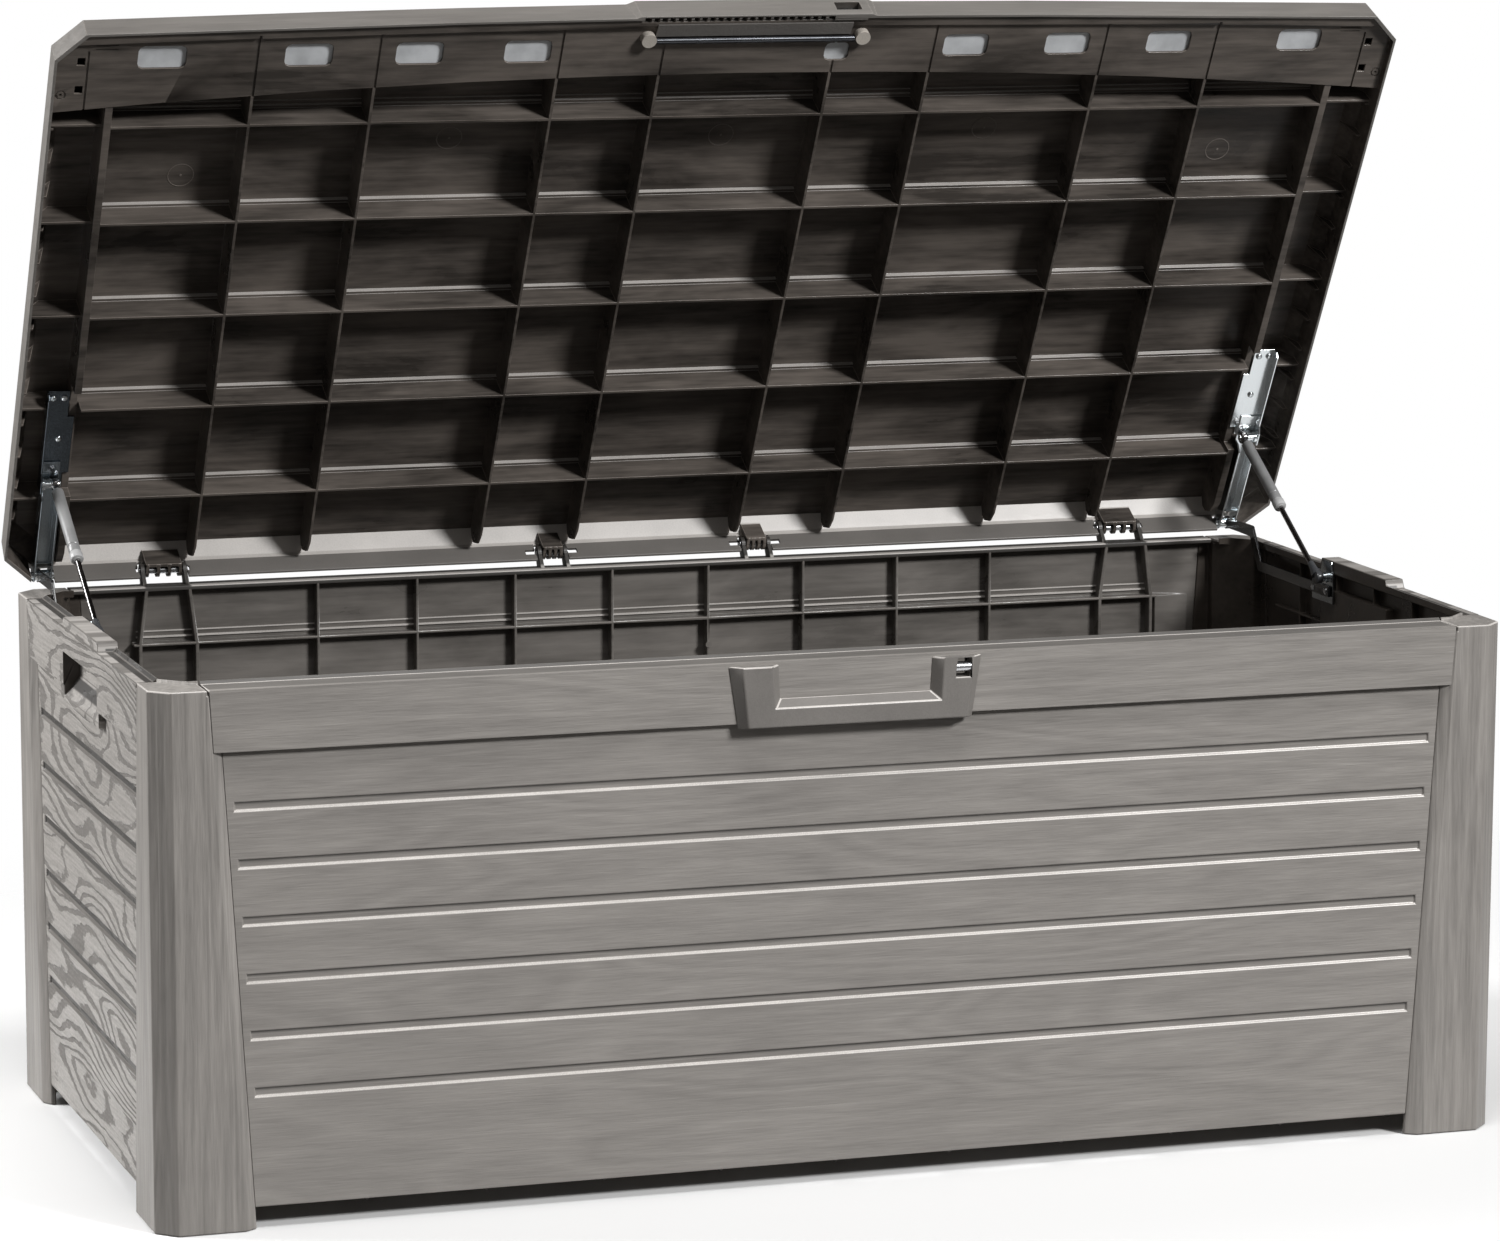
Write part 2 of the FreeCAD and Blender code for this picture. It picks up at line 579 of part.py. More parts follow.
def corner_cutters():
    """Grooves, slots and a round hole in the underside of the lid's two front corners."""
    cutters = []
    low = RIB_TIP - 1
    for side in (-1, 1):
        cutters.append(lid_box(side * 703, side * 705, 600, 682, 0, low + 1.5))
        for v in (631, 665):
            cutters.append(lid_box(side * 707, side * 715, v, v + 9, 0, low + 4))
        for v in (683, 688):
            cutters.append(lid_box(side * 674, side * 697, v, v + 1.6, 0, low + 1.2))
        ring = rod((side * 729, lid_y(630), lid_z(0)), (0, 0, 1), 5.5, low + 1.2)
        cutters.append(ring.cut(rod((side * 729, lid_y(630), lid_z(-1)), (0, 0, 1), 4.0, 12)))
        cutters.append(rod((side * 729, lid_y(630), lid_z(0)), (0, 0, 1), 1.5, low + 4))
    return cutters


def lid_knuckle(centre, half):
    """The lid's half of a hinge: four eyes between the two cheeks, on a bar that joins the lid's rear edge."""
    inner = half - CHEEK - SIDE_GAP
    rib = 3.5
    outline = [(-5.0, 13.0), (-0.5, 25.0), (1.5, 31.0), (11.0, 40.0), (12.5, 34.0), (12.5, 9.0), (7.0, 5.5)]
    bar = [(9.6, 7.5), (12.5, 9.0), (12.5, 34.0), (11.0, 40.0), (9.6, 38.0)]
    shapes = [lid_profile(bar, centre - inner, centre + inner)]
    for i in range(4):
        x0 = centre - inner + i * (2 * inner - rib) / 3
        shapes.append(rod((x0, HINGE_Y, HINGE_Z), (1, 0, 0), KNUCKLE_R, rib))
        shapes.append(lid_profile(outline, x0, x0 + rib))
    return fuse(shapes)


def lid_bulge():
    """The thicker middle of the lid's front: a comb of stiffeners below, and a slot for the padlock."""
    v0 = lid_edge(BULGE_HALF) - 3
    tip = BULGE_HALF - 8
    base = [(-BULGE_HALF - 3, v0), (BULGE_HALF + 3, v0), (tip, BULGE_V), (-tip, BULGE_V)]
    body = extrude([(x, lid_y(v), lid_z(0)) for x, v in base], (0, 0, LID_SKIRT))
    boss = lid_box(COMB_X[1], BULGE_HALF - 12, COMB_V[0], v0 + 1, 0.5, LID_SKIRT - 2)
    x0, x1 = COMB_X
    comb = lid_box(x0, x1, COMB_V[0], COMB_V[1], -1, LID_SKIRT - 4)
    pitch = (x1 - x0) / (COMB_TEETH + 1)
    for i in range(COMB_TEETH):
        x = x0 + (i + 1) * pitch
        comb = comb.cut(lid_box(x - 1.6, x + 1.6, COMB_V[0] - 1, COMB_V[1] + 1, 0.4, LID_SKIRT))
    slot = lid_box(90, 118, COMB_V[0] - 1, BULGE_V + 1, 9, 23)
    back = lid_box(x0 - 3, COMB_X[1] + 3, COMB_V[0] - 2.5, COMB_V[0], 2.5, LID_SKIRT - 2)
    return [body, boss, back], [comb, slot]


def lid_panel():
    solid = lid_solid(0.0, 0.0, 0.0)
    hollow = lid_solid(LID_SKIN, LID_SKIN, -1.0)
    shell = solid.cut(hollow)
    section, section_cutters = front_box()
    stiffeners = fuse(lid_ribs() + section).common(solid)
    parts = fuse([shell, stiffeners])
    bar_bay = lid_box(-BAR_HALF - 1, BAR_HALF + 1, BAR_V[0] - 2, BAR_V[1] + 4, RIB_TIP + 2, LID_HEIGHT - 18)
    cutters = section_cutters + corner_cutters() + [bar_bay]
    for side in (-1, 1):
        cutters.append(lid_box(side * (ARM_X[0] - 3), side * (ARM_X[1] + 3), -10, 300, -5, 24))
        cutters.append(lid_box(side * (PLATE_X[0] - 3), side * (PLATE_X[1] + 3), PLATE_V[0] - 10,
                               PLATE_V[1] + 6, -5, 24))
        for centre, half in ((OUTER_HINGE_X, OUTER_HINGE_HALF), (INNER_HINGE_X, INNER_HINGE_HALF)):
            cutters.append(lid_box(side * (centre - half - SIDE_GAP), side * (centre + half + SIDE_GAP),
                                   -10, 22, -1, 24))
    for v in LID_GROOVE_V:
        cutters.append(lid_box(-LID_HALF + 55, LID_HALF - 55, v - 3.5, v + 3.5, LID_HEIGHT - 1.2, LID_HEIGHT + 1))
    bulge, bulge_cutters = lid_bulge()
    for cutter in cutters:
        parts = parts.cut(cutter)
    knuckles = []
    for side in (-1, 1):
        knuckles.append(lid_knuckle(side * OUTER_HINGE_X, OUTER_HINGE_HALF))
        knuckles.append(lid_knuckle(side * INNER_HINGE_X, INNER_HINGE_HALF))
    lid = fuse([parts] + knuckles + bulge)
    for cutter in bulge_cutters + [handle_rod(SEAT_GAP), handle_grip(SEAT_GAP), lid_bumpers(SEAT_GAP),
                                   padlock_plate(SEAT_GAP)]:
        lid = lid.cut(cutter)
    bores = []
    for side in (-1, 1):
        for centre in (OUTER_HINGE_X, INNER_HINGE_X):
            bores.append(rod((side * centre - 30, HINGE_Y, HINGE_Z), (1, 0, 0), PIN_R + RUNNING_GAP, 60))
    return lid.cut(Part.makeCompound(bores))


def lid_stiffener_bar():
    """Galvanised angle bar inside the lid's front section, seen through its windows."""
    low = RIB_TIP + 2.4
    v0, v1 = BAR_V
    flat = lid_box(-BAR_HALF, BAR_HALF, v0, v1, low, low + 2.5)
    leg = lid_box(-BAR_HALF, BAR_HALF, v0, v0 + 2.5, low, low + 14)
    return flat.fuse(leg).removeSplitter()


def handle_grip(gap=0.0):
    """Textured strip between the comb and the handle rod; with a gap it is the seat that it lies in."""
    plate = RIB_TIP - 1 + 0.4
    step = RIB_TIP - 5 + 0.4
    outline = [(COMB_V[0] - 3.2 + gap, 0.6), (691.5 - gap, 4.4), (691.5 - gap, plate + gap),
               (703.0 + gap, plate + gap), (703.0 + gap, step + gap), (COMB_V[0] - 3.2 + gap, step + gap)]
    return lid_profile(outline, COMB_X[0] + 16 - gap, COMB_X[1] + 22 + gap)


def handle_rod(gap=0.0):
    """Steel rod along the lid's front edge; with a gap it is the groove that it lies in."""
    x0 = BUMPER_X[0] + BUMPER_R + 0.2 - gap
    x1 = BUMPER_X[1] - BUMPER_R - 0.2 + gap
    return rod((x0, lid_y(HANDLE_ROD_V), lid_z(HANDLE_ROD_W)), (1, 0, 0), HANDLE_ROD_R + gap, x1 - x0)


def lid_bumpers(gap=0.0):
    """Two round bumpers; with a gap they are the seats that they sit in."""
    discs = []
    for x in BUMPER_X:
        base = (x, lid_y(BUMPER_V), lid_z(-1.6))
        discs.append(rod(base, (0, 0, 1), BUMPER_R + gap, RIB_TIP + 1 + gap))
    return Part.makeCompound(discs)


def padlock_plate(gap=0.0):
    """Steel liner behind the padlock slot in the lid's front."""
    return lid_box(88 - gap, 120 + gap, COMB_V[0] - 1.5 - gap, COMB_V[0] + gap, 6 - gap, 26 + gap)


# ---- Hinge pins and lid stays ------------------------------------------------------------------


def hinge_pin(centre, half):
    shank = rod((centre - half - 1.0, HINGE_Y, HINGE_Z), (1, 0, 0), PIN_R, 2 * half + 2.0)
    head = rod((centre - half - 1.4, HINGE_Y, HINGE_Z), (1, 0, 0), PIN_R + 1.2, 1.2)
    return shank.fuse(head).removeSplitter()


def lid_arm():
    """The channel that joins the lid plate to the stay's own pivot on the hinge line."""
    x0, x1 = ARM_X
    web = lid_box(x0, x1, 12, 150, 22 - STEEL, 22)
    shapes = [web]
    flange = [(10, 4), (110, 4), (116, 12), (116, 22), (2, 22), (-6, 14), (-2, 6)]
    for x in (x0, x1 - STEEL):
        shapes.append(lid_profile(flange, x, x + STEEL))
    arm = fuse(shapes)
    return arm.cut(rod((x0 - 1, HINGE_Y, HINGE_Z), (1, 0, 0), PIN_R + RUNNING_GAP, x1 - x0 + 2))


def lid_plate():
    x0, x1 = PLATE_X
    v0, v1 = PLATE_V
    shapes = [lid_box(x0, x1, v0 + 12, v1 - 34, 22, 24), lid_box(x0 + 7, x1, v0 + 2, v1, 22, 24)]
    flange = [(v0 - 4, 6), (v0 + 12, 6), (v0 + 20, 11), (v1 - 4, 11), (v1, 16), (v1, 24), (v0 - 4, 24)]
    shapes.append(lid_profile(flange, x1 + 0.2, x1 + 0.2 + STEEL))
    shapes.append(lid_box(x1 - 1, x1 + 0.2 + STEEL, v0 + 2, v1, 22, 24))
    return fuse(shapes)


def lid_plate_screws():
    heads = []
    for side in (-1, 1):
        for x, v in ((688.0, 234.0), (700.0, 234.0), (690.0, 180.0)):
            heads.append(rod((side * x, lid_y(v), lid_z(19.6)), (0, 0, 1), 3.6, 2.2))
    return Part.makeCompound(heads)


def lid_stud():
    """Ball stud on the lid plate's flange that carries the strut's upper end."""
    x1 = PLATE_X[1]
    y = lid_y(STUD_V)
    z = lid_z(STUD_W)
    shank = rod((STRUT_X - EYE_HALF - 1, y, z), (1, 0, 0), STUD_R, x1 + 0.2 - STRUT_X + EYE_HALF + 1)
    collar = rod((x1 - 3.0, y, z), (1, 0, 0), STUD_R + 2, 3.2)
    return shank.fuse(collar).removeSplitter()


def strip(points, half_height, x0, x1):
    """A flat strip of constant height that follows (y, z) points."""
    pieces = []
    for (ya, za), (yb, zb) in zip(points, points[1:]):
        length = math.hypot(yb - ya, zb - za)
        ny = -(zb - za) / length * half_height
        nz = (yb - ya) / length * half_height
        outline = [(ya + ny, za + nz), (yb + ny, zb + nz), (yb - ny, zb - nz), (ya - ny, za - nz)]
        pieces.append(extrude([(x0, y, z) for y, z in outline], (x1 - x0, 0, 0)))
    for y, z in points[1:-1]:
        pieces.append(rod((x0, y, z), (1, 0, 0), half_height, x1 - x0))
    return pieces


def support_arm():
    """Cranked black arm, fixed to the side wall, that carries the stay's pivot on the hinge line."""
    x0, x1 = SUPPORT_X
    shapes = strip(ARM_ROUTE, 6.0, x0, x1)
    shapes.append(rod((x0, HINGE_Y, HINGE_Z), (1, 0, 0), 7.5, x1 - x0))
    arm = fuse(shapes)
    return arm.cut(rod((x0 - 1, HINGE_Y, HINGE_Z), (1, 0, 0), PIN_R + RUNNING_GAP, x1 - x0 + 2))


def arm_pivot_pin():
    x0, x1 = ARM_X
    shank = rod((x0 - 1.5, HINGE_Y, HINGE_Z), (1, 0, 0), PIN_R, x1 - x0 + 3.0)
    spacer_low = rod((x0 + STEEL + 0.4, HINGE_Y, HINGE_Z), (1, 0, 0), PIN_R + 2,
                     SUPPORT_X[0] - x0 - STEEL - 0.8)
    spacer_high = rod((SUPPORT_X[1] + 0.4, HINGE_Y, HINGE_Z), (1, 0, 0), PIN_R + 2,
                      x1 - STEEL - SUPPORT_X[1] - 0.8)
    head = rod((x0 - 3.0, HINGE_Y, HINGE_Z), (1, 0, 0), PIN_R + 2, 2.4)
    return fuse([shank, spacer_low, spacer_high, head])


def wall_bracket():
    x1 = WALL_INNER_X
    x0 = x1 - 2.6
    y0, y1 = BRACKET_Y
    z0, z1 = BRACKET_Z
    plate = box(x0, x1, y0, y1, z0, z1)
    ear = extrude([(x0, 50, z1 - 1), (x0, 82, z1 - 1), (x0, 78, 555), (x0, 54, 555)], (2.6, 0, 0))
    return plate.fuse(ear).removeSplitter()


def wall_stud():
    x_end = WALL_INNER_X - 2.6
    x_start = STRUT_X + EYE_HALF + OPEN_PIVOT_GAP
    collar = rod((x_end - 2.4, WALL_STUD_Y, WALL_STUD_Z), (1, 0, 0), STUD_R + 2, 2.4)
    shank = rod((x_start, WALL_STUD_Y, WALL_STUD_Z), (1, 0, 0), STUD_R + 1, x_end - x_start)
    return shank.fuse(collar).removeSplitter()


def wall_bracket_rivets():
    heads = []
    for side in (-1, 1):
        start = side * (SUPPORT_X[0])
        for y, z in ((60.0, 522.0), (94.0, 522.0)):
            heads.append(rod((start, y, z), (-side, 0, 0), 4.0, 2.0))
        plate_face = side * (WALL_INNER_X - 2.6)
        heads.append(rod((plate_face, 94.0, 537.0), (-side, 0, 0), 4.0, 2.0))
    return Part.makeCompound(heads)


UPPER_Y, UPPER_Z = opened_point(lid_y(STUD_V), lid_z(STUD_W))
OPEN_LENGTH = math.hypot(WALL_STUD_Y - UPPER_Y, WALL_STUD_Z - UPPER_Z)
STRUT_DIR = (0.0, (WALL_STUD_Y - UPPER_Y) / OPEN_LENGTH, (WALL_STUD_Z - UPPER_Z) / OPEN_LENGTH)


def along(distance):
    """Point on the open strut's centre line, measured from the lid stud."""
    return (STRUT_X, UPPER_Y + STRUT_DIR[1] * distance, UPPER_Z + STRUT_DIR[2] * distance)


def strut_socket():
    ring = rod((STRUT_X - EYE_HALF, UPPER_Y, UPPER_Z), (1, 0, 0), EYE_R, 2 * EYE_HALF)
    neck = rod(along(4.0), STRUT_DIR, 4.5, TUBE_START - 4.2)
    bore = rod((STRUT_X - 20, UPPER_Y, UPPER_Z), (1, 0, 0), STUD_R + RUNNING_GAP, 40)
    return ring.fuse(neck).cut(bore).removeSplitter()


def strut_tube():
    outer = rod(along(TUBE_START), STRUT_DIR, TUBE_R, TUBE_END - TUBE_START - GLAND)
    bore = rod(along(TUBE_START + 2), STRUT_DIR, TUBE_R - 1.3, TUBE_END)
    return outer.cut(bore)


def strut_gland():
    start = TUBE_END - GLAND + 0.1
    outer = rod(along(start), STRUT_DIR, TUBE_R + 0.6, GLAND - 1.2)
    nose = rod(along(start + GLAND - 1.2), STRUT_DIR, TUBE_R - 0.6, 1.0)
    bore = rod(along(start - 1), STRUT_DIR, ROD_R + RUNNING_GAP, GLAND + 3)
    return outer.fuse(nose).cut(bore).removeSplitter()


def strut_rod():
    start = OPEN_LENGTH - ROD_LENGTH
    shank = rod(along(start), STRUT_DIR, ROD_R, ROD_LENGTH - 12.0)
    piston = rod(along(start), STRUT_DIR, TUBE_R - 1.4, 4.0)
    return shank.fuse(piston).removeSplitter()


def strut_rod_eye():
    ring = rod((STRUT_X - EYE_HALF, WALL_STUD_Y, WALL_STUD_Z), (1, 0, 0), EYE_R, 2 * EYE_HALF)
    neck = rod(along(OPEN_LENGTH - 20.0), STRUT_DIR, 4.2, 15.0)
    bore = rod(along(OPEN_LENGTH - 21.0), STRUT_DIR, ROD_R + 0.02, 9.2)
    return ring.fuse(neck).cut(bore).removeSplitter()


# ---- Write the nodes ---------------------------------------------------------------------------


def both_sides(name, shape):
    return {name + "_right": shape, name + "_left": mirror_x(shape)}


def all_nodes():
    nodes = {
        "front_panel": front_panel(),
        "back_panel": back_panel(),
        "floor_panel": floor_panel(),
        "latch_frame": latch_frame(),
        "padlock_pin": padlock_pin(),
        "lid_panel": opened(lid_panel()),
        "lid_stiffener_bar": opened(lid_stiffener_bar()),
        "handle_grip": opened(handle_grip()),
        "handle_rod": opened(handle_rod()),
        "lid_bumpers": opened(lid_bumpers()),
        "padlock_plate": opened(padlock_plate()),
        "lid_plate_screws": opened(lid_plate_screws()),
        "wall_bracket_rivets": wall_bracket_rivets(),
    }
    nodes.update(both_sides("side_panel", side_panel()))
    post = corner_post()
    nodes["post_front_left"] = post
    nodes["post_front_right"] = mirror_x(post)
    nodes["post_rear_left"] = mirror_y(post)
    nodes["post_rear_right"] = mirror_x(mirror_y(post))
    nodes.update(both_sides("hinge_pin_outer", hinge_pin(OUTER_HINGE_X, OUTER_HINGE_HALF)))
    nodes.update(both_sides("hinge_pin_inner", hinge_pin(INNER_HINGE_X, INNER_HINGE_HALF)))
    nodes.update(both_sides("lid_arm", opened(lid_arm())))
    nodes.update(both_sides("lid_plate", opened(lid_plate())))
    nodes.update(both_sides("lid_stud", opened(lid_stud())))
    nodes.update(both_sides("support_arm", support_arm()))
    nodes.update(both_sides("arm_pivot_pin", arm_pivot_pin()))
    nodes.update(both_sides("wall_bracket", wall_bracket()))
    nodes.update(both_sides("wall_stud", wall_stud()))
    nodes.update(both_sides("strut_socket", strut_socket()))
    nodes.update(both_sides("strut_tube", strut_tube()))
    nodes.update(both_sides("strut_gland", strut_gland()))
    nodes.update(both_sides("strut_rod", strut_rod()))
    nodes.update(both_sides("strut_rod_eye", strut_rod_eye()))
    return nodes


os.makedirs("parts", exist_ok=True)
NODES = all_nodes()
front_y = min(shape.BoundBox.YMin for shape in NODES.values())
rear_y = max(shape.BoundBox.YMax for shape in NODES.values())
CENTRE_Y = (front_y + rear_y) / 2
for name, shape in sorted(NODES.items()):
    shape.translate(V(0, -CENTRE_Y, 0))
    if not shape.isValid():
        print("invalid:", name)
    shape.exportStep("parts/" + name + ".step")
    print(name, "solids", len(shape.Solids), "volume", round(shape.Volume / 1000, 1), "cm3")
print("centre_y", CENTRE_Y, "open length", OPEN_LENGTH, "upper stud", UPPER_Y - CENTRE_Y, UPPER_Z)
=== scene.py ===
"""Looks of the deck storage box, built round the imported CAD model. Metres, in the frame of the model."""

import json
import math

import bmesh
import bpy
from mathutils import Matrix, Vector


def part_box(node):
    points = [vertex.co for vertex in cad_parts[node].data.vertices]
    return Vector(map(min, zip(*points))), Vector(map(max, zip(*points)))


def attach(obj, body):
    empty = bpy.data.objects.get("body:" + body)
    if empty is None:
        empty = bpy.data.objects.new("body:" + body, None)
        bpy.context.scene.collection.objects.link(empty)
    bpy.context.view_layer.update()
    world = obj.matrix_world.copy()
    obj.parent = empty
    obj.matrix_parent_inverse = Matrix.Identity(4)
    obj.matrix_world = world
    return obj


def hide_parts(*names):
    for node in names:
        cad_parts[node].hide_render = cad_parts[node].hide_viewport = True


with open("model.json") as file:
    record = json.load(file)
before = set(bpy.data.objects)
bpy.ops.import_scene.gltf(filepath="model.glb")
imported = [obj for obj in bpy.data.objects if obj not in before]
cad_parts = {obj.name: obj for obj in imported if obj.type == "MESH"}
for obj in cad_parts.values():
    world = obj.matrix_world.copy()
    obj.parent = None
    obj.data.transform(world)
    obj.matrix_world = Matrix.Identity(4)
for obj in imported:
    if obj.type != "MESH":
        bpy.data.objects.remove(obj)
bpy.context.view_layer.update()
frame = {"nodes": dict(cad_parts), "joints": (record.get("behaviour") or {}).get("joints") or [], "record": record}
NODES = frame["nodes"]
BODIES = frame["record"]["behaviour"]["bodies"]
BODY_OF = {node: body for body, members in BODIES.items() for node in members}
HINGE = Vector(next(j for j in frame["joints"] if j["name"] == "lid_hinge")["pos_m"])
OPEN_ANGLE = math.radians(60.0)
LID_BASE = (0.0022, 0.0122)   # from the closed lid's rear edge and foot, forward and up to the hinge

# ---- Places in the frame -----------------------------------------------------------------------
POST_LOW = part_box("post_front_left")[0]
FRONT_Y = POST_LOW.y
REAR_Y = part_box("post_rear_right")[1].y
HALF_W = -POST_LOW.x
MID_Y = (FRONT_Y + REAR_Y) / 2
HALF_D = (REAR_Y - FRONT_Y) / 2
LID_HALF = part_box("lid_panel")[1].x
RIM_Z = 0.546             # top of the chest's rim
BAND_Z = 0.484            # lower edge of the band above the boards
GROOVE_Z = 0.139          # middle of the lowest groove between boards
BOARD_PITCH = 0.0578
REAR_RIM = 0.025          # width of the rim on the rear wall
RIM_ZONE = 0.03           # faces this near the rear, at rim height, belong to that rim
TOWER_X = 0.561           # middle of each outer hinge
WALL_FACE = 0.0118        # the rear wall's inner face lies this far inside its outer one

# ---- Camera, light and floor -------------------------------------------------------------------
CAMERA_AZIMUTH = -18.9
CAMERA_ELEVATION = 9.8
CAMERA_ROLL = 0.3
CAMERA_DISTANCE = 6.1271
CAMERA_TARGET = Vector((0.0706, -0.00658, 0.4619))
CAMERA_LENS = 136.95
CAMERA_SHIFT = (-0.0412, 0.0403)
LIGHT_TARGET = Vector((0, 0, 0.5))
WORLD_LIGHT = (1.0, 0.97, 0.94, 1)
WORLD_STRENGTH = 0.115
FLOOR_NEAR = 0.7          # the floor is whole up to this far from the middle,
FLOOR_FAR = 1.7           # and gone from here on


def direction(azimuth, elevation):
    """Towards a point seen at this azimuth (0 is the front, 90 the right) and elevation, in degrees."""
    a, e = math.radians(azimuth), math.radians(elevation)
    return Vector((math.sin(a) * math.cos(e), -math.cos(a) * math.cos(e), math.sin(e)))


def make_camera():
    """The camera of the main picture."""
    data = bpy.data.cameras.new("camera")
    data.lens = CAMERA_LENS
    data.sensor_width = 36.0
    data.shift_x, data.shift_y = CAMERA_SHIFT
    camera = bpy.data.objects.new("camera", data)
    bpy.context.scene.collection.objects.link(camera)
    back = direction(CAMERA_AZIMUTH, CAMERA_ELEVATION)
    camera.location = CAMERA_TARGET + back * CAMERA_DISTANCE
    look = (-back).to_track_quat("-Z", "Y")
    roll = Matrix.Rotation(math.radians(CAMERA_ROLL), 3, "Z")
    camera.rotation_euler = (look.to_matrix() @ roll).to_euler()
    bpy.context.scene.camera = camera


def area_light(name, azimuth, elevation, distance, size, power):
    """A rectangular light that points at the middle of the box."""
    data = bpy.data.lights.new(name, "AREA")
    data.shape = "RECTANGLE"
    data.size, data.size_y = size
    data.energy = power
    light = bpy.data.objects.new(name, data)
    back = direction(azimuth, elevation)
    light.location = LIGHT_TARGET + back * distance
    light.rotation_euler = (-back).to_track_quat("-Z", "Y").to_euler()
    bpy.context.scene.collection.objects.link(light)


def make_stage():
    """Lights, a background that is white to the camera and dim to everything else, and the floor."""
    bpy.context.scene.view_settings.view_transform = "Standard"
    area_light("key", 33, 30, 9.0, (1.8, 1.5), 705)
    area_light("top", -6, 70, 4.4, (2.2, 1.3), 92)
    area_light("end_light", -112, 24, 3.8, (1.6, 1.4), 150)
    world = bpy.data.worlds.new("world")
    bpy.context.scene.world = world
    world.use_nodes = True
    tree = world.node_tree
    seen = tree.nodes.new("ShaderNodeBackground")
    seen.inputs["Color"].default_value = (1, 1, 1, 1)
    seen.inputs["Strength"].default_value = 1.0
    felt = tree.nodes["Background"]
    felt.inputs["Color"].default_value = WORLD_LIGHT
    felt.inputs["Strength"].default_value = WORLD_STRENGTH
    path = tree.nodes.new("ShaderNodeLightPath")
    mix = tree.nodes.new("ShaderNodeMixShader")
    tree.links.new(path.outputs["Is Camera Ray"], mix.inputs[0])
    tree.links.new(felt.outputs[0], mix.inputs[1])
    tree.links.new(seen.outputs[0], mix.inputs[2])
    tree.links.new(mix.outputs[0], tree.nodes["World Output"].inputs["Surface"])
    bpy.ops.mesh.primitive_plane_add(size=9, location=(0, 0, -0.0005))
    floor = bpy.context.object
    floor.name = "floor"
    floor.data.materials.append(floor_paint())
    floor.visible_diffuse = False


def floor_paint():
    """Pale matt paint that gives way to the white of the background away from the box."""
    s = Shader("floor_paint", roughness=0.9)
    s.set(s.bsdf.inputs["Base Color"], (0.92, 0.92, 0.92, 1))
    x, y, _ = s.split(s.place())
    squares = s.plus(s.math("POWER", s.times(x, 0.6), 2.0), s.math("POWER", y, 2.0))
    clear = s.smooth(s.math("SQRT", squares), FLOOR_NEAR, FLOOR_FAR)
    mix = s.tree.nodes.new("ShaderNodeMixShader")
    s.set(mix.inputs[0], clear)
    s.set(mix.inputs[1], s.bsdf.outputs[0])
    s.set(mix.inputs[2], s.add("BsdfTransparent"))
    s.set(s.tree.nodes["Material Output"].inputs["Surface"], mix.outputs[0])
    return s.material


# ---- Materials ---------------------------------------------------------------------------------
RESIN = (0.285, 0.267, 0.249)
RESIN_DARK = (0.205, 0.19, 0.175)
RESIN_LIGHT = (0.36, 0.341, 0.322)
LID_RESIN = (0.165, 0.154, 0.142)
# The same resin darkened to paint the shade inside the chest, on the inner faces of its ends and posts, and under
# the lid.
CHEST_INSIDE_SHADED = (0.15, 0.138, 0.126)
SIDE_INSIDE_SHADED = (0.06, 0.05, 0.042)
LID_INSIDE_SHADED = (0.105, 0.091, 0.080)
OBJECT_PLACE = 3          # output of the texture coordinate node that follows each piece


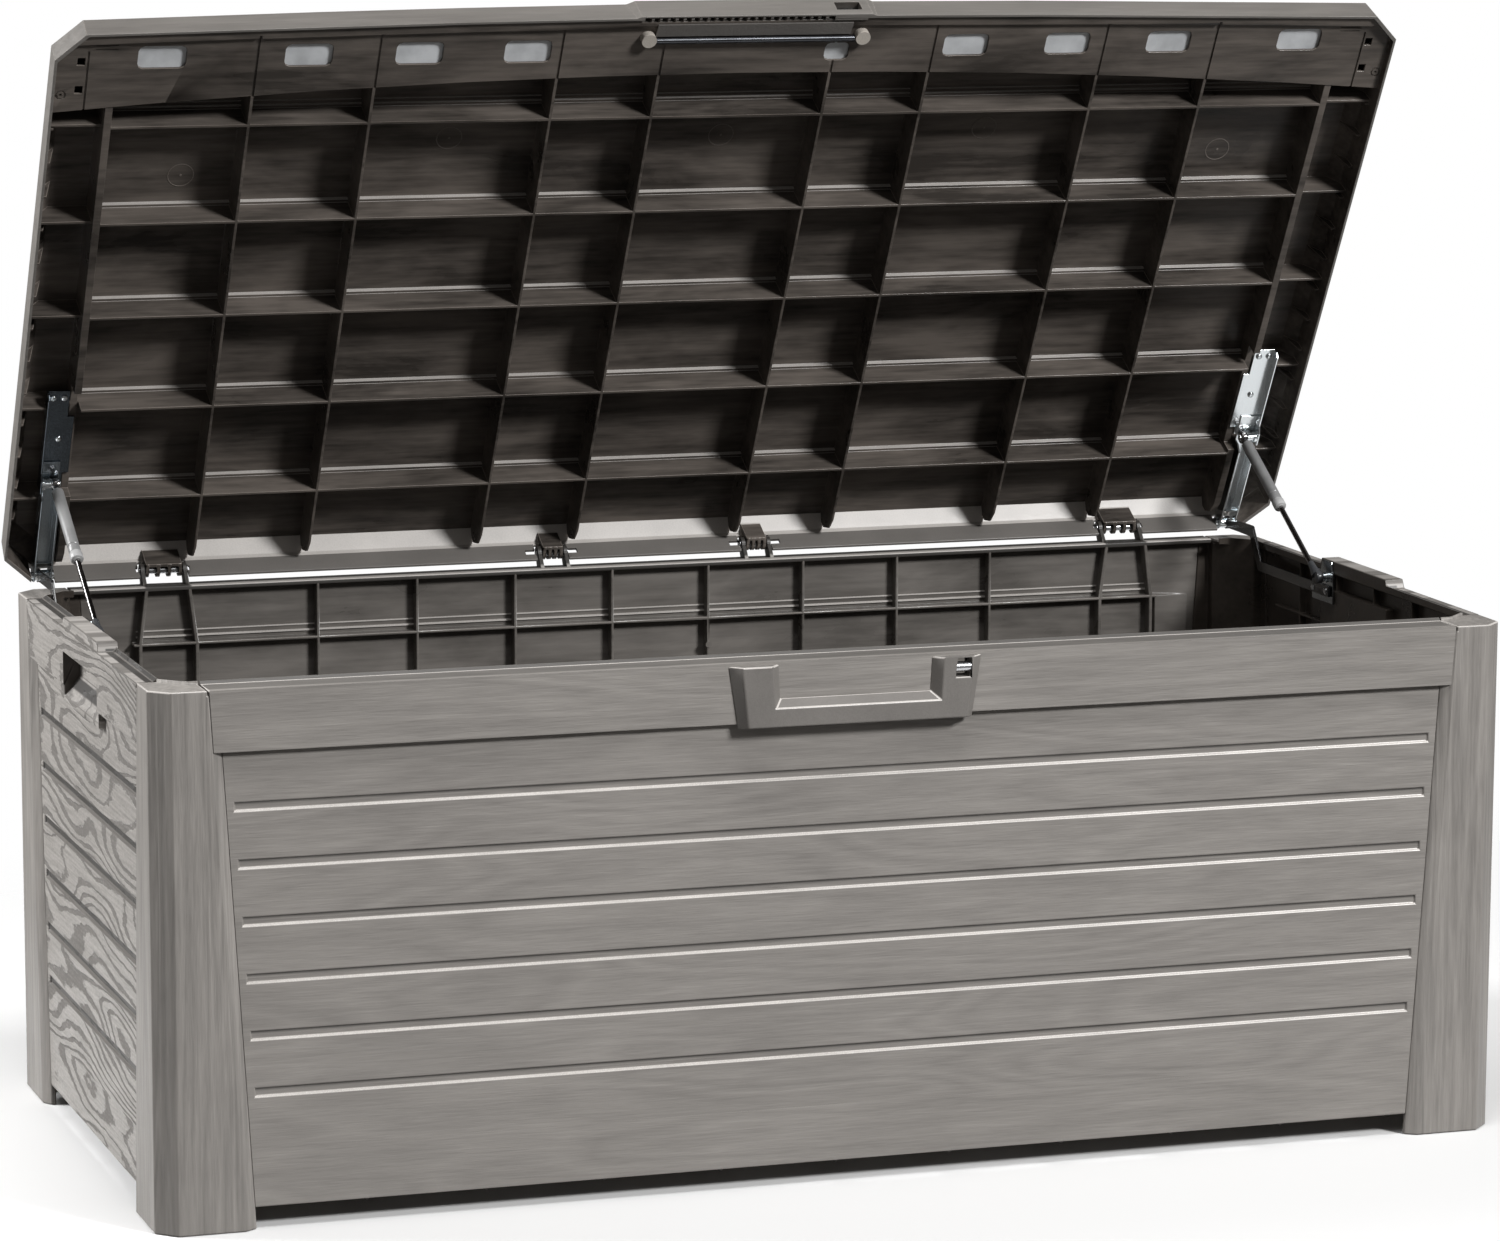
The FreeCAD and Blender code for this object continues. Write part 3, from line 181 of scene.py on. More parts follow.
class Shader:
    """A material and short ways to add nodes to it."""

    def __init__(self, name, roughness=0.5, metallic=0.0):
        self.material = bpy.data.materials.new(name)
        self.material.use_nodes = True
        self.tree = self.material.node_tree
        self.bsdf = self.tree.nodes["Principled BSDF"]
        self.bsdf.inputs["Roughness"].default_value = roughness
        self.bsdf.inputs["Metallic"].default_value = metallic

    def set(self, socket, value):
        """Link a socket to another, or give it a constant value."""
        if isinstance(value, bpy.types.NodeSocket):
            self.tree.links.new(value, socket)
        else:
            socket.default_value = value

    def add(self, kind, settings=None, output=0, **inputs):
        """Add a node with its inputs given by name, and give back one of its outputs."""
        node = self.tree.nodes.new("ShaderNode" + kind)
        for key, value in (settings or {}).items():
            setattr(node, key, value)
        for key, value in inputs.items():
            self.set(node.inputs[key.replace("_", " ")], value)
        return node.outputs[output]

    def math(self, operation, a, b=0.0):
        node = self.tree.nodes.new("ShaderNodeMath")
        node.operation = operation
        for socket, value in zip(node.inputs, (a, b)):
            self.set(socket, value)
        return node.outputs[0]

    def plus(self, a, b):
        return self.math("ADD", a, b)

    def minus(self, a, b):
        return self.math("SUBTRACT", a, b)

    def times(self, a, b):
        return self.math("MULTIPLY", a, b)

    def smooth(self, value, low, high):
        """0 below low and 1 above high, with a soft step between them."""
        soft = {"interpolation_type": "SMOOTHSTEP"}
        return self.add("MapRange", soft, Value=value, From_Min=low, From_Max=high)

    def remap(self, value, low, high, to_low=0.0, to_high=1.0):
        """Bring a value from one range to another and keep it there."""
        node = self.tree.nodes.new("ShaderNodeMapRange")
        for socket, item in zip(node.inputs, (value, low, high, to_low, to_high)):
            self.set(socket, item)
        return node.outputs[0]

    def mix(self, factor, a, b):
        """Blend two colours."""
        node = self.tree.nodes.new("ShaderNodeMix")
        node.data_type = "RGBA"
        self.set(node.inputs["Factor"], factor)
        self.set(node.inputs[6], with_alpha(a))
        self.set(node.inputs[7], with_alpha(b))
        return node.outputs[2]

    def place(self, lid=False):
        """A point of the piece in the frame of the model, turned onto the closed lid for the lid's pieces."""
        place = self.add("TexCoord", output=OBJECT_PLACE)
        if not lid:
            return place
        about_hinge = {"rotation_type": "X_AXIS"}
        return self.add("VectorRotate", about_hinge, Vector=place, Center=HINGE, Angle=OPEN_ANGLE)

    def split(self, vector):
        node = self.tree.nodes.new("ShaderNodeSeparateXYZ")
        self.set(node.inputs[0], vector)
        return node.outputs

    def join(self, x, y, z):
        node = self.tree.nodes.new("ShaderNodeCombineXYZ")
        for socket, value in zip(node.inputs, (x, y, z)):
            self.set(socket, value)
        return node.outputs[0]

    def scaled(self, vector, scale):
        return self.add("Mapping", Vector=vector, Scale=scale)

    def noise(self, vector, scale=1.0, detail=4.0, roughness=0.5, distortion=0.0):
        return self.add("TexNoise", Vector=vector, Scale=scale, Detail=detail, Roughness=roughness,
                        Distortion=distortion)

    def bump(self, height, distance, strength):
        node = self.tree.nodes.new("ShaderNodeBump")
        node.inputs["Distance"].default_value = distance
        node.inputs["Strength"].default_value = strength
        self.set(node.inputs["Height"], height)
        return node.outputs[0]

    def done(self, colour, roughness, normal):
        self.set(self.bsdf.inputs["Base Color"], colour)
        self.set(self.bsdf.inputs["Roughness"], roughness)
        self.set(self.bsdf.inputs["Normal"], normal)
        return self.material


def with_alpha(colour):
    return colour if isinstance(colour, bpy.types.NodeSocket) else (*colour, 1)


def shade(colour, factor):
    """A colour made lighter or darker."""
    return tuple(c * factor for c in colour)


def stretch(along, slow, fast):
    """Texture scale that is slow along one axis, so that its marks run that way."""
    return tuple(slow if axis == along else fast for axis in "XYZ")


def board_row(s, z):
    """How far above the middle of the nearest groove a point lies, and which board it is on."""
    row = s.math("DIVIDE", s.minus(z, GROOVE_Z), BOARD_PITCH)
    above = s.times(s.minus(s.math("FRACT", s.plus(row, 0.5)), 0.5), BOARD_PITCH)
    return above, s.math("FLOOR", row)


def soft_grain(name, along, base, contrast=1.0, boards=False, lid=False, across=9.0, turns=26.0):
    """Resin with a faint moulded wood grain that runs along one axis; on the boards it also paints shadow in the
    upper part of each groove.
    """
    s = Shader(name, roughness=0.46)
    place = s.place(lid)
    x, y, z = s.split(place)
    above, board = board_row(s, z)
    if boards:
        place = s.join(s.plus(x, s.times(board, 1.37)), y, z)
    streaks = s.noise(s.scaled(place, stretch(along, 5.5, 85.0)), detail=5.0, roughness=0.65, distortion=0.6)
    fibres = s.noise(s.scaled(place, stretch(along, 22.0, 430.0)), detail=3.0, roughness=0.65)
    smudge = s.noise(s.scaled(place, stretch(along, 5.0, 14.0)), detail=4.0, roughness=0.6)
    veins = s.noise(s.scaled(place, stretch(along, 1.4, across)), detail=2.0, distortion=0.3)
    rings = s.math("PINGPONG", s.times(veins, turns), 1.0)
    tone = s.plus(s.times(streaks, 0.45), s.times(fibres, 0.35))
    tone = s.plus(tone, s.times(smudge, 0.45))
    tone = s.plus(tone, s.times(rings, 0.13 * contrast))
    middle = 0.625 + 0.065 * contrast
    tone = s.remap(tone, middle - 0.25 / contrast, middle + 0.25 / contrast)
    colour = s.mix(tone, shade(base, 0.76), shade(base, 1.24))
    if boards:
        # Painted shadow: the upper part of each groove's floor, under the board above it, is darkened.
        depth = s.minus(HALF_D, s.math("ABSOLUTE", s.minus(y, MID_Y)))
        sunk = s.remap(depth, 0.0084, 0.0098)
        under_edge = s.times(s.remap(above, 0.0012, 0.003), s.remap(above, 0.0062, 0.0052))
        groove_shadow = s.times(sunk, under_edge)
        colour = s.mix(s.times(groove_shadow, 0.8), colour, shade(base, 0.2))
    height = s.plus(s.times(streaks, 0.6), s.times(fibres, 0.45))
    height = s.plus(height, s.times(rings, 0.2))
    rough = s.remap(fibres, 0.3, 0.7, 0.36, 0.56)
    return s.done(colour, rough, s.bump(height, 0.001 * contrast, 0.6))


def bold_grain(name):
    """Resin with a deeply moulded plank grain: contour lines of a stretched field, board by board, with painted
    shade on the floors of the grooves.
    """
    s = Shader(name, roughness=0.5)
    x, y, z = s.split(s.place())
    above, board = board_row(s, z)
    run = s.join(s.times(board, 7.3), s.plus(y, s.times(board, 0.83)), z)
    field = s.noise(s.scaled(run, (0.37, 2.2, 8.0)), detail=1.3, roughness=0.45, distortion=0.12)
    wobble = s.noise(s.scaled(run, (1.0, 34.0, 110.0)), detail=3.0, roughness=0.6)
    level = s.plus(s.times(field, 19.0), s.times(wobble, 0.6))
    level = s.plus(level, s.times(z, 46.0))
    wave = s.math("PINGPONG", level, 0.5)
    patch = s.noise(s.scaled(run, (1.0, 7.0, 22.0)), detail=2.0)
    width = s.remap(patch, 0.35, 0.65, 0.03, 0.2)
    line = s.minus(1.0, s.smooth(wave, width, s.plus(width, 0.11)))
    fibres = s.noise(s.scaled(s.place(), (1.0, 14.0, 420.0)), detail=3.0)
    speckle = s.noise(s.scaled(s.place(), (1.0, 200.0, 420.0)), detail=2.0)
    tone = s.plus(s.times(fibres, 0.5), s.times(speckle, 0.35))
    light = s.mix(s.remap(tone, 0.3, 0.55), shade(RESIN, 0.95), shade(RESIN_LIGHT, 1.25))
    dark = s.mix(fibres, shade(RESIN_DARK, 0.45), shade(RESIN_DARK, 0.9))
    shown = s.times(line, s.remap(speckle, 0.32, 0.5, 0.55, 0.9))
    colour = s.mix(shown, light, dark)
    # Painted shade: the floors of the grooves between the boards are darkened.
    depth = s.minus(HALF_W, s.math("ABSOLUTE", x))
    sunk = s.remap(depth, 0.0084, 0.0098)
    groove = s.times(s.remap(above, 0.0062, 0.0052), s.remap(above, -0.0052, -0.0044))
    colour = s.mix(s.times(sunk, groove), colour, shade(RESIN, 0.2))
    height = s.minus(s.times(fibres, 0.3), line)
    return s.done(colour, s.remap(line, 0.0, 1.0, 0.44, 0.62), s.bump(height, 0.0011, 0.8))


def inside_resin(name, colour, lid=False):
    """The smooth and glossy back of the mouldings, in the dark colour it is given, which paints the shade inside
    the chest and the lid, with faint flow marks; on the lid a wider mottling also paints reflected streaks.
    """
    s = Shader(name, roughness=0.34)
    darkest, lightest = 0.7, 1.25
    if lid:
        s.bsdf.inputs["Specular IOR Level"].default_value = 0.15
        # On the lid the mottling spans a wider range: faint flow marks, and painted reflected streaks of its
        # gloss.
        darkest, lightest = 0.45, 1.5
    place = s.place(lid)
    flow = s.noise(s.scaled(place, (6.0, 17.0, 17.0)), detail=4.0, roughness=0.6, distortion=0.3)
    brushed = s.noise(s.scaled(place, (11.0, 150.0, 150.0)), detail=4.0, roughness=0.6)
    tone = s.plus(s.times(flow, 0.65), s.times(brushed, 0.35))
    colour = s.mix(s.remap(tone, 0.38, 0.62), shade(colour, darkest), shade(colour, lightest))
    rough = s.remap(flow, 0.35, 0.65, 0.26, 0.42)
    return s.done(colour, rough, s.bump(brushed, 0.0003, 0.4))


def plain_resin(name, colour, roughness=0.42, grain=900.0, height=0.00012):
    """Resin with a fine, even texture."""
    s = Shader(name, roughness=roughness)
    fine = s.noise(s.place(), scale=grain, detail=2.0)
    broad = s.noise(s.place(), scale=14.0, detail=3.0)
    tone = s.remap(s.plus(s.times(fine, 0.4), s.times(broad, 0.6)), 0.35, 0.65)
    colour = s.mix(tone, shade(colour, 0.88), shade(colour, 1.12))
    rough = s.remap(fine, 0.3, 0.7, roughness - 0.06, roughness + 0.1)
    return s.done(colour, rough, s.bump(fine, height, 0.6))


def rim_resin(name):
    """The rear rim: pale only along its inner edge between the hinges, a painted highlight, and dark over the
    rest, a painted shadow of the lid's skirt.
    """
    s = Shader(name, roughness=0.4)
    x, y, z = s.split(s.place())
    front = REAR_Y - REAR_RIM
    shown = s.times(s.remap(y, front + 0.012, front + 0.009), s.remap(z, RIM_Z - 0.0014, RIM_Z - 0.0009))
    tower = s.math("ABSOLUTE", s.minus(s.math("ABSOLUTE", x), TOWER_X))
    shown = s.times(shown, s.remap(tower, 0.024, 0.027))
    fine = s.noise(s.place(), scale=900.0, detail=2.0)
    # Pale where the highlight is painted, dark where the skirt's shadow is painted.
    colour = s.mix(shown, shade(CHEST_INSIDE_SHADED, 0.35), shade(RESIN_LIGHT, 1.5))
    return s.done(colour, s.remap(fine, 0.3, 0.7, 0.34, 0.5), s.bump(fine, 0.00012, 0.6))


def steel(name, colour, roughness, along="Z", streak=0.05):
    """Bare or plated steel with fine drawn lines along one axis."""
    s = Shader(name, roughness=roughness, metallic=1.0)
    lines = s.noise(s.scaled(s.place(), stretch(along, 12.0, 900.0)), detail=2.0)
    cloud = s.noise(s.place(), scale=26.0, detail=2.0)
    tone = s.remap(s.plus(s.times(lines, 0.7), s.times(cloud, 0.3)), 0.35, 0.65)
    tint = s.mix(tone, shade(colour, 1.0 - streak), shade(colour, min(1.0 + streak, 1.0 / max(colour))))
    rough = s.remap(cloud, 0.3, 0.7, roughness - 0.03, roughness + 0.04)
    return s.done(tint, rough, s.bump(lines, 0.00004, 0.4))


def painted(name, colour, roughness, coat=0.0):
    """Paint or smooth plastic with slight wear, under a clear coat where one is given."""
    s = Shader(name, roughness=roughness)
    s.bsdf.inputs["Coat Weight"].default_value = coat
    s.bsdf.inputs["Coat Roughness"].default_value = 0.12
    skin = s.noise(s.place(), scale=420.0, detail=2.0)
    wear = s.noise(s.place(), scale=30.0, detail=4.0)
    tint = s.mix(s.remap(wear, 0.35, 0.65), shade(colour, 0.85), shade(colour, 1.2))
    rough = s.remap(skin, 0.3, 0.7, roughness - 0.05, roughness + 0.07)
    return s.done(tint, rough, s.bump(skin, 0.00008, 0.5))


# ---- Mouldings with rounded edges --------------------------------------------------------------
SHARP = math.radians(24.0)          # edges sharper than this are rounded
SMOOTH_BELOW = math.radians(38.0)   # and the bends of a finished piece below this are shaded smooth
FLAT = math.radians(0.5)            # faces that meet within this are one flat face
WELD = 1e-5
ROOM = 2.3                          # an edge's neighbours are at least this many roundings long
PANEL_ROUNDING = 0.0011
POST_ROUNDING = 0.0016
FACING = 0.3                        # share of a face's normal from which it counts as facing that way
UPWARD = 0.2
# A face's place in its part's list of materials.
OUTSIDE, INSIDE, LEDGE, REAR_TOP = range(4)
LID_BEVEL, LID_STEP, LID_SKIRT = range(2, 5)
RIM_DEPTH = 0.0075                  # the chest's rim reaches this far down
BOARD_DEPTH = 0.0112                # outer faces of the boards lie less than this far in from the posts
LEDGE_TOP = 0.5
LID_NOSE = 0.66                     # the lid's front section starts this far forward of the hinge
LID_CELLS = 0.676                   # half the width of the lid's ribbed field
LID_SKIN_STEP = 0.0375              # steps above this height run along the lid's inner skin


def welded(node):
    """The node's mesh with its triangles joined back into flat faces."""
    mesh = bmesh.new()
    mesh.from_mesh(NODES[node].data)
    bmesh.ops.remove_doubles(mesh, verts=mesh.verts, dist=WELD)
    bmesh.ops.dissolve_limit(mesh, angle_limit=FLAT, verts=mesh.verts, edges=mesh.edges)
    return mesh


def roomy(edge, width):
    """Whether both faces beside an edge leave room for its rounding."""
    if len(edge.link_faces) != 2 or edge.calc_face_angle(0.0) < SHARP:
        return False
    reach = ROOM * width
    beside = [near.edge for loop in edge.link_loops for near in (loop.link_loop_prev, loop.link_loop_next)]
    return all(near.calc_length() >= reach for near in beside) and edge.calc_length() > reach


def finish_mesh(mesh, name, materials, choose=None):
    """Turn a bmesh into a piece, with a material for each face and soft shading over its roundings."""
    for face in mesh.faces:
        centre = face.calc_center_median()
        side = choose(centre, face.normal) if choose else OUTSIDE
        rear_rim = centre.y > REAR_Y - RIM_ZONE and RIM_Z - 0.01 < centre.z < RIM_Z + 0.004
        # Upward-facing roundings take the second half of the materials, where the painted highlights are (painted
        # shade on the deep-grain end walls); the rear rim keeps its own look.
        bright = face.material_index and face.normal.z > UPWARD and not rear_rim
        face.material_index = side + (len(materials) // 2 if bright else 0)
        face.smooth = True
    data = bpy.data.meshes.new(name)
    mesh.to_mesh(data)
    mesh.free()
    for material in materials:
        data.materials.append(material)
    data.set_sharp_from_angle(angle=SMOOTH_BELOW)
    piece = bpy.data.objects.new(name, data)
    bpy.context.scene.collection.objects.link(piece)
    weighted = piece.modifiers.new("weighted", "WEIGHTED_NORMAL")
    weighted.keep_sharp = True
    weighted.weight = 100
    return piece


def rounded(node, width, materials, choose=None, segments=2):
    """A copy of a CAD node with its free edges rounded, which stands for that node. The first half of its
    materials is for its faces, and the second half for its upper roundings; where the two halves differ, the
    second paints a highlight on those roundings, and on the deep-grain end walls a shade."""
    mesh = welded(node)
    for face in mesh.faces:
        face.material_index = 0
    bmesh.ops.connect_verts_concave(mesh, faces=mesh.faces)
    edges = [edge for edge in mesh.edges if roomy(edge, width)]
    bmesh.ops.bevel(mesh, geom=edges, offset=width, segments=segments, profile=0.6, affect="EDGES",
                    clamp_overlap=False, material=1)
    bmesh.ops.remove_doubles(mesh, verts=mesh.verts, dist=2 * WELD)
    low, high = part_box(node)
    for vert in mesh.verts:
        vert.co = [min(max(c, a), b) for c, a, b in zip(vert.co, low, high)]
    piece = finish_mesh(mesh, node + "_shell", materials, choose)
    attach(piece, BODY_OF[node])
    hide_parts(node)


def chest_side(centre, normal):
    """Which part of the chest a face belongs to."""
    dx, dy = HALF_W - abs(centre.x), HALF_D - abs(centre.y - MID_Y)
    at_rim = centre.z > RIM_Z - RIM_DEPTH
    # The rear rim's top takes the rim look, with its painted highlight and shadow.
    if at_rim and centre.y > REAR_Y - RIM_ZONE and abs(centre.x) < HALF_W - 0.05:
        return REAR_TOP
    if at_rim and normal.z > UPWARD:
        return OUTSIDE
    outward = normal.y * math.copysign(1, centre.y - MID_Y)
    if dx < dy:
        outward = normal.x * math.copysign(1, centre.x)
    boards = min(dx, dy) < BOARD_DEPTH and centre.z < BAND_Z - 0.002
    if min(dx, dy) < 0.003 or outward > FACING or boards:
        return OUTSIDE
    # Up-facing faces of the rear wall's ledge take a pale look: painted highlight.
    ledge = BAND_Z < centre.z < LEDGE_TOP and normal.z > FACING and centre.y > MID_Y
    return LEDGE if ledge else INSIDE


def lid_side(centre, normal):
    """Which part of the lid a face belongs to, judged on the closed lid."""
    closing = Matrix.Rotation(OPEN_ANGLE, 3, "X")
    place, facing = closing @ (centre - HINGE), closing @ normal
    forward, up = -place.y, place.z
    front = -facing.y
    side = facing.x * math.copysign(1, centre.x)
    v, w = forward + LID_BASE[0], up + LID_BASE[1]
    # The rear bevel strip gets a pale look: painted reflection.
    if 0.002 < v < 0.015 and 0.024 < w < 0.043:
        return LID_BEVEL
    # Steps along the inner skin get a pale look: painted highlight.
    if w > LID_SKIN_STEP and front > 0.7 and forward < LID_NOSE and abs(centre.x) < LID_CELLS:
        return LID_STEP
    # The rear skirt's inner face gets a lighter look: painted light.
    if v < 0.0045 and 0.0 < w < 0.03 and front > FACING:
        return LID_SKIRT
    from_edge = LID_HALF - abs(centre.x)
    top_or_foot = facing.z > 0.25 or (up < -0.0112 and facing.z < -0.5)
    end = side > FACING and from_edge < 0.004
    corner = side > FACING and abs(front) > FACING and from_edge < 0.04
    rear = front < -FACING and forward < 0.002
    nose = front > FACING and forward > 0.7
    return OUTSIDE if top_or_foot or end or corner or rear or nose else INSIDE


def make_mouldings():
    """The resin parts. Each list holds the looks of a part's faces, then those of its upper roundings, which carry
    painted highlights (painted shade on the deep-grain end walls).
    """
    wood_x = soft_grain("woodgrain_resin", "X", RESIN, boards=True)
    wood_z = soft_grain("woodgrain_resin_upright", "Z", RESIN, contrast=1.35, across=34.0, turns=15.0)
    plank = bold_grain("woodgrain_resin_deep")
    lid_out = soft_grain("lid_resin", "X", LID_RESIN, lid=True)
    # Painted shade: the dark inside looks of the chest, its ends and posts, and the lid.
    inside = inside_resin("resin_inside", CHEST_INSIDE_SHADED)
    side_inside = inside_resin("resin_inside_end", SIDE_INSIDE_SHADED)
    lid_inside = inside_resin("lid_resin_inside", LID_INSIDE_SHADED, lid=True)
    frame_resin = plain_resin("plain_resin", shade(RESIN, 0.7))
    # Painted highlight on the upper roundings of the chest's panels, posts and latch frame.
    edge = plain_resin("resin_edge", shade(RESIN_LIGHT, 1.7), 0.24)
    # Painted shade on the upper roundings of the deep-grain end walls.
    plank_edge = plain_resin("resin_deep_edge", shade(RESIN_DARK, 0.8), 0.4)
    # Painted highlight on the upper roundings inside the chest and on its floor.
    inside_edge = plain_resin("resin_inside_edge", shade(CHEST_INSIDE_SHADED, 1.6), 0.25)
    # Painted highlight on the rear wall's ledge and the steps above it.
    ledge = plain_resin("resin_inside_ledge", shade(RESIN_LIGHT, 1.5), 0.25)
    # Painted highlight on the lid's upper roundings outside.
    lid_rim = plain_resin("lid_resin_edge", shade(LID_RESIN, 1.3), 0.26)
    # Painted highlight on the lid's upper roundings inside.
    lid_edge = plain_resin("lid_resin_inside_edge", shade(LID_INSIDE_SHADED, 2.4), 0.22)
    # Painted highlight along the steps of the lid's inner skin.
    lid_line = plain_resin("lid_resin_inside_step", shade(RESIN_LIGHT, 1.3), 0.22)
    # Painted reflection on the lid's rear bevel strip.
    lid_bevel = plain_resin("lid_resin_bevel", shade(RESIN_LIGHT, 1.6), 0.35, height=0.00004)
    # Painted light on the inner face of the lid's rear skirt.
    lid_skirt = plain_resin("lid_resin_skirt", shade(RESIN, 0.62), 0.35)
    # Painted highlight and painted shadow on the rear rim.
    rear_rim = rim_resin("resin_rear_rim")
    chest = [wood_x, inside, ledge, rear_rim, edge, inside_edge, ledge, rear_rim]
    ends = [plank, side_inside, side_inside, plank, plank_edge, side_inside, side_inside, plank_edge]
    posts = [wood_z, side_inside, side_inside, wood_z, edge, side_inside, side_inside, edge]
    lid = [lid_out, lid_inside, lid_bevel, lid_line, lid_skirt]
    lid += [lid_rim, lid_edge, lid_bevel, lid_line, lid_skirt]
    for node in ("front_panel", "back_panel"):
        rounded(node, PANEL_ROUNDING, chest, chest_side)
    for node in ("side_panel_left", "side_panel_right"):
        rounded(node, PANEL_ROUNDING, ends, chest_side)
    for end in ("front", "rear"):
        for side in ("left", "right"):
            post = f"post_{end}_{side}"
            rounded(post, POST_ROUNDING, posts, chest_side, segments=3)
    make_ledge_lines(ledge)
    rounded("floor_panel", 0.001, [inside, inside_edge])
    rounded("latch_frame", POST_ROUNDING, [frame_resin, edge], segments=3)
    rounded("lid_panel", 0.0006, lid, lid_side)


# ---- Hardware ----------------------------------------------------------------------------------
# Profiles of turned shapes: (distance along the axis, radius), in millimetres.
TUBE = ((12, 0), (12, 4.6), (12.7, 5.8), (13.8, 6.35), (15.2, 6.5), (105.6, 6.5), (106.4, 5.9), (108.2, 5.9),
        (109, 6.5), (117.2, 6.5), (117.9, 6.1), (117.9, 0))
GLAND = ((118.1, 0), (118.1, 6.5), (118.9, 7.05), (127.4, 7.05), (128.5, 6.5), (129, 5.5), (129.2, 4.4),
         (129.8, 4.1), (129.8, 0))
EYE = ((-4, 0), (-4, 5.4), (-3.3, 6.6), (-2, 7), (2, 7), (3.3, 6.6), (4, 5.4), (4, 0))
UPPER_NECK = ((3.5, 0), (3.5, 4.2), (8, 4.2), (8.6, 4.5), (11.6, 4.5), (11.9, 4.2), (11.9, 0))
LOWER_SLEEVE = ((229, 0), (229, 3.4), (230.2, 3.9), (239, 4.3), (243, 5.2), (248, 6.1), (251, 6.1), (251, 0))
SCREW_HEAD = ((0, 0), (0, 3.6), (0.6, 3.6), (1.3, 3.2), (1.9, 2.3), (2.15, 1.5), (2.15, 1.2), (1.5, 0.9),
              (1.5, 0))
RIVET_HEAD = ((0, 0), (0, 4.0), (0.5, 4.0), (1.1, 3.5), (1.6, 2.6), (1.95, 1.2), (2.0, 0))
MARK_RING = ((-0.2, 13.0), (0.35, 13.3), (0.35, 14.0), (-0.2, 14.3))
MARK_DOT = ((-0.2, 0), (-0.2, 1.5), (0.5, 1.2), (0.5, 0))
# Places of the lid's round marks, across and forward, and the height of its inner skin, in millimetres.
MOULD_MARKS = ((-585, 503), (-301, 543), (0, 540), (300, 542), (582, 507))
MARK_HEIGHT = 43.0
LID_FORWARD = Vector((0, -math.cos(OPEN_ANGLE), math.sin(OPEN_ANGLE)))
LID_UP = Vector((0, math.sin(OPEN_ANGLE), math.cos(OPEN_ANGLE)))
TURNED_SMOOTH_BELOW = math.radians(35.0)


def piece_from(mesh, name, material, body, nodes=()):
    """Turn a bmesh of turned or built shapes into a piece that rides on a body."""
    bmesh.ops.recalc_face_normals(mesh, faces=mesh.faces)
    for face in mesh.faces:
        face.smooth = True
    data = bpy.data.meshes.new(name)
    mesh.to_mesh(data)
    mesh.free()
    data.materials.append(material)
    data.set_sharp_from_angle(angle=TURNED_SMOOTH_BELOW)
    piece = bpy.data.objects.new(name, data)
    bpy.context.scene.collection.objects.link(piece)
    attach(piece, body)
    if nodes:
        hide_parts(*nodes)


def turn(mesh, start, axis, profile, segments=36):
    """Add a solid of revolution from its profile. One that starts and ends off the axis makes a ring."""
    turn_to = Vector(axis).to_track_quat("Z", "Y").to_matrix()
    rings = []
    for distance, radius in profile:
        if radius < 1e-6:
            rings.append([mesh.verts.new(Vector(start) + turn_to @ Vector((0, 0, distance / 1000)))])
            continue
        ring = []
        for i in range(segments):
            angle = 2 * math.pi * i / segments
            local = Vector((math.cos(angle) * radius, math.sin(angle) * radius, distance)) / 1000
            ring.append(mesh.verts.new(Vector(start) + turn_to @ local))
        rings.append(ring)
    if len(rings[0]) > 1:
        rings.append(rings[0])
    for low, high in zip(rings, rings[1:]):
        for i in range(segments):
            corners = [ring[k % len(ring)] for ring, k in ((low, i), (low, i + 1), (high, i + 1), (high, i))]
            mesh.faces.new(list(dict.fromkeys(corners)))


def make_struts(paint, gland_resin, socket_steel, sleeve_resin):
    """Both gas struts, turned about the line from the lid stud to the wall stud."""
    for side in ("left", "right"):
        turn_joint = next(j for j in frame["joints"] if j["name"] == "strut_turn_" + side)
        upper = Vector(turn_joint["pos_m"])
        low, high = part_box("wall_stud_" + side)
        lower = Vector((upper.x, (low.y + high.y) / 2, (low.z + high.z) / 2))
        axis = (lower - upper).normalized()
        for name, profile, material, slot in (("tube", TUBE, paint, "strut_paint"),
                                              ("gland", GLAND, gland_resin, "strut_paint")):
            mesh = bmesh.new()
            turn(mesh, upper, axis, profile)
            piece_from(mesh, f"strut_{name}_{side}_turned", material, "strut_case_" + side,
                       [f"strut_{name}_{side}"])
        mesh = bmesh.new()
        turn(mesh, upper, (1, 0, 0), EYE)
        turn(mesh, upper, axis, UPPER_NECK)
        piece_from(mesh, f"strut_socket_{side}_turned", socket_steel, "strut_case_" + side,
                   ["strut_socket_" + side])
        mesh = bmesh.new()
        turn(mesh, lower, (1, 0, 0), EYE)
        turn(mesh, upper, axis, LOWER_SLEEVE)
        piece_from(mesh, f"strut_rod_eye_{side}_turned", sleeve_resin, "strut_piston_" + side,
                   ["strut_rod_eye_" + side])


def islands(node):
    """The middle of each separate solid of a CAD node."""
    mesh = welded(node)
    left = set(mesh.verts)
    middles = []
    while left:
        group, edge = set(), [left.pop()]
        while edge:
            vert = edge.pop()
            group.add(vert)
            for link in vert.link_edges:
                other = link.other_vert(vert)
                if other in left:
                    left.remove(other)
                    edge.append(other)
        corners = [vert.co.copy() for vert in group]
        middles.append(sum(corners, Vector()) / len(corners))
    mesh.free()
    return sorted(middles, key=lambda p: tuple(round(c, 5) for c in p))


def heads(node, material, direction_at, profile):
    """Domed heads in place of a node's plain discs."""
    mesh = bmesh.new()
    height = max(distance for distance, _ in profile) / 1000
    for middle in islands(node):
        towards = direction_at(middle)
        turn(mesh, middle - towards * height / 2, towards, profile, segments=24)
    piece_from(mesh, node + "_domed", material, BODY_OF[node], [node])


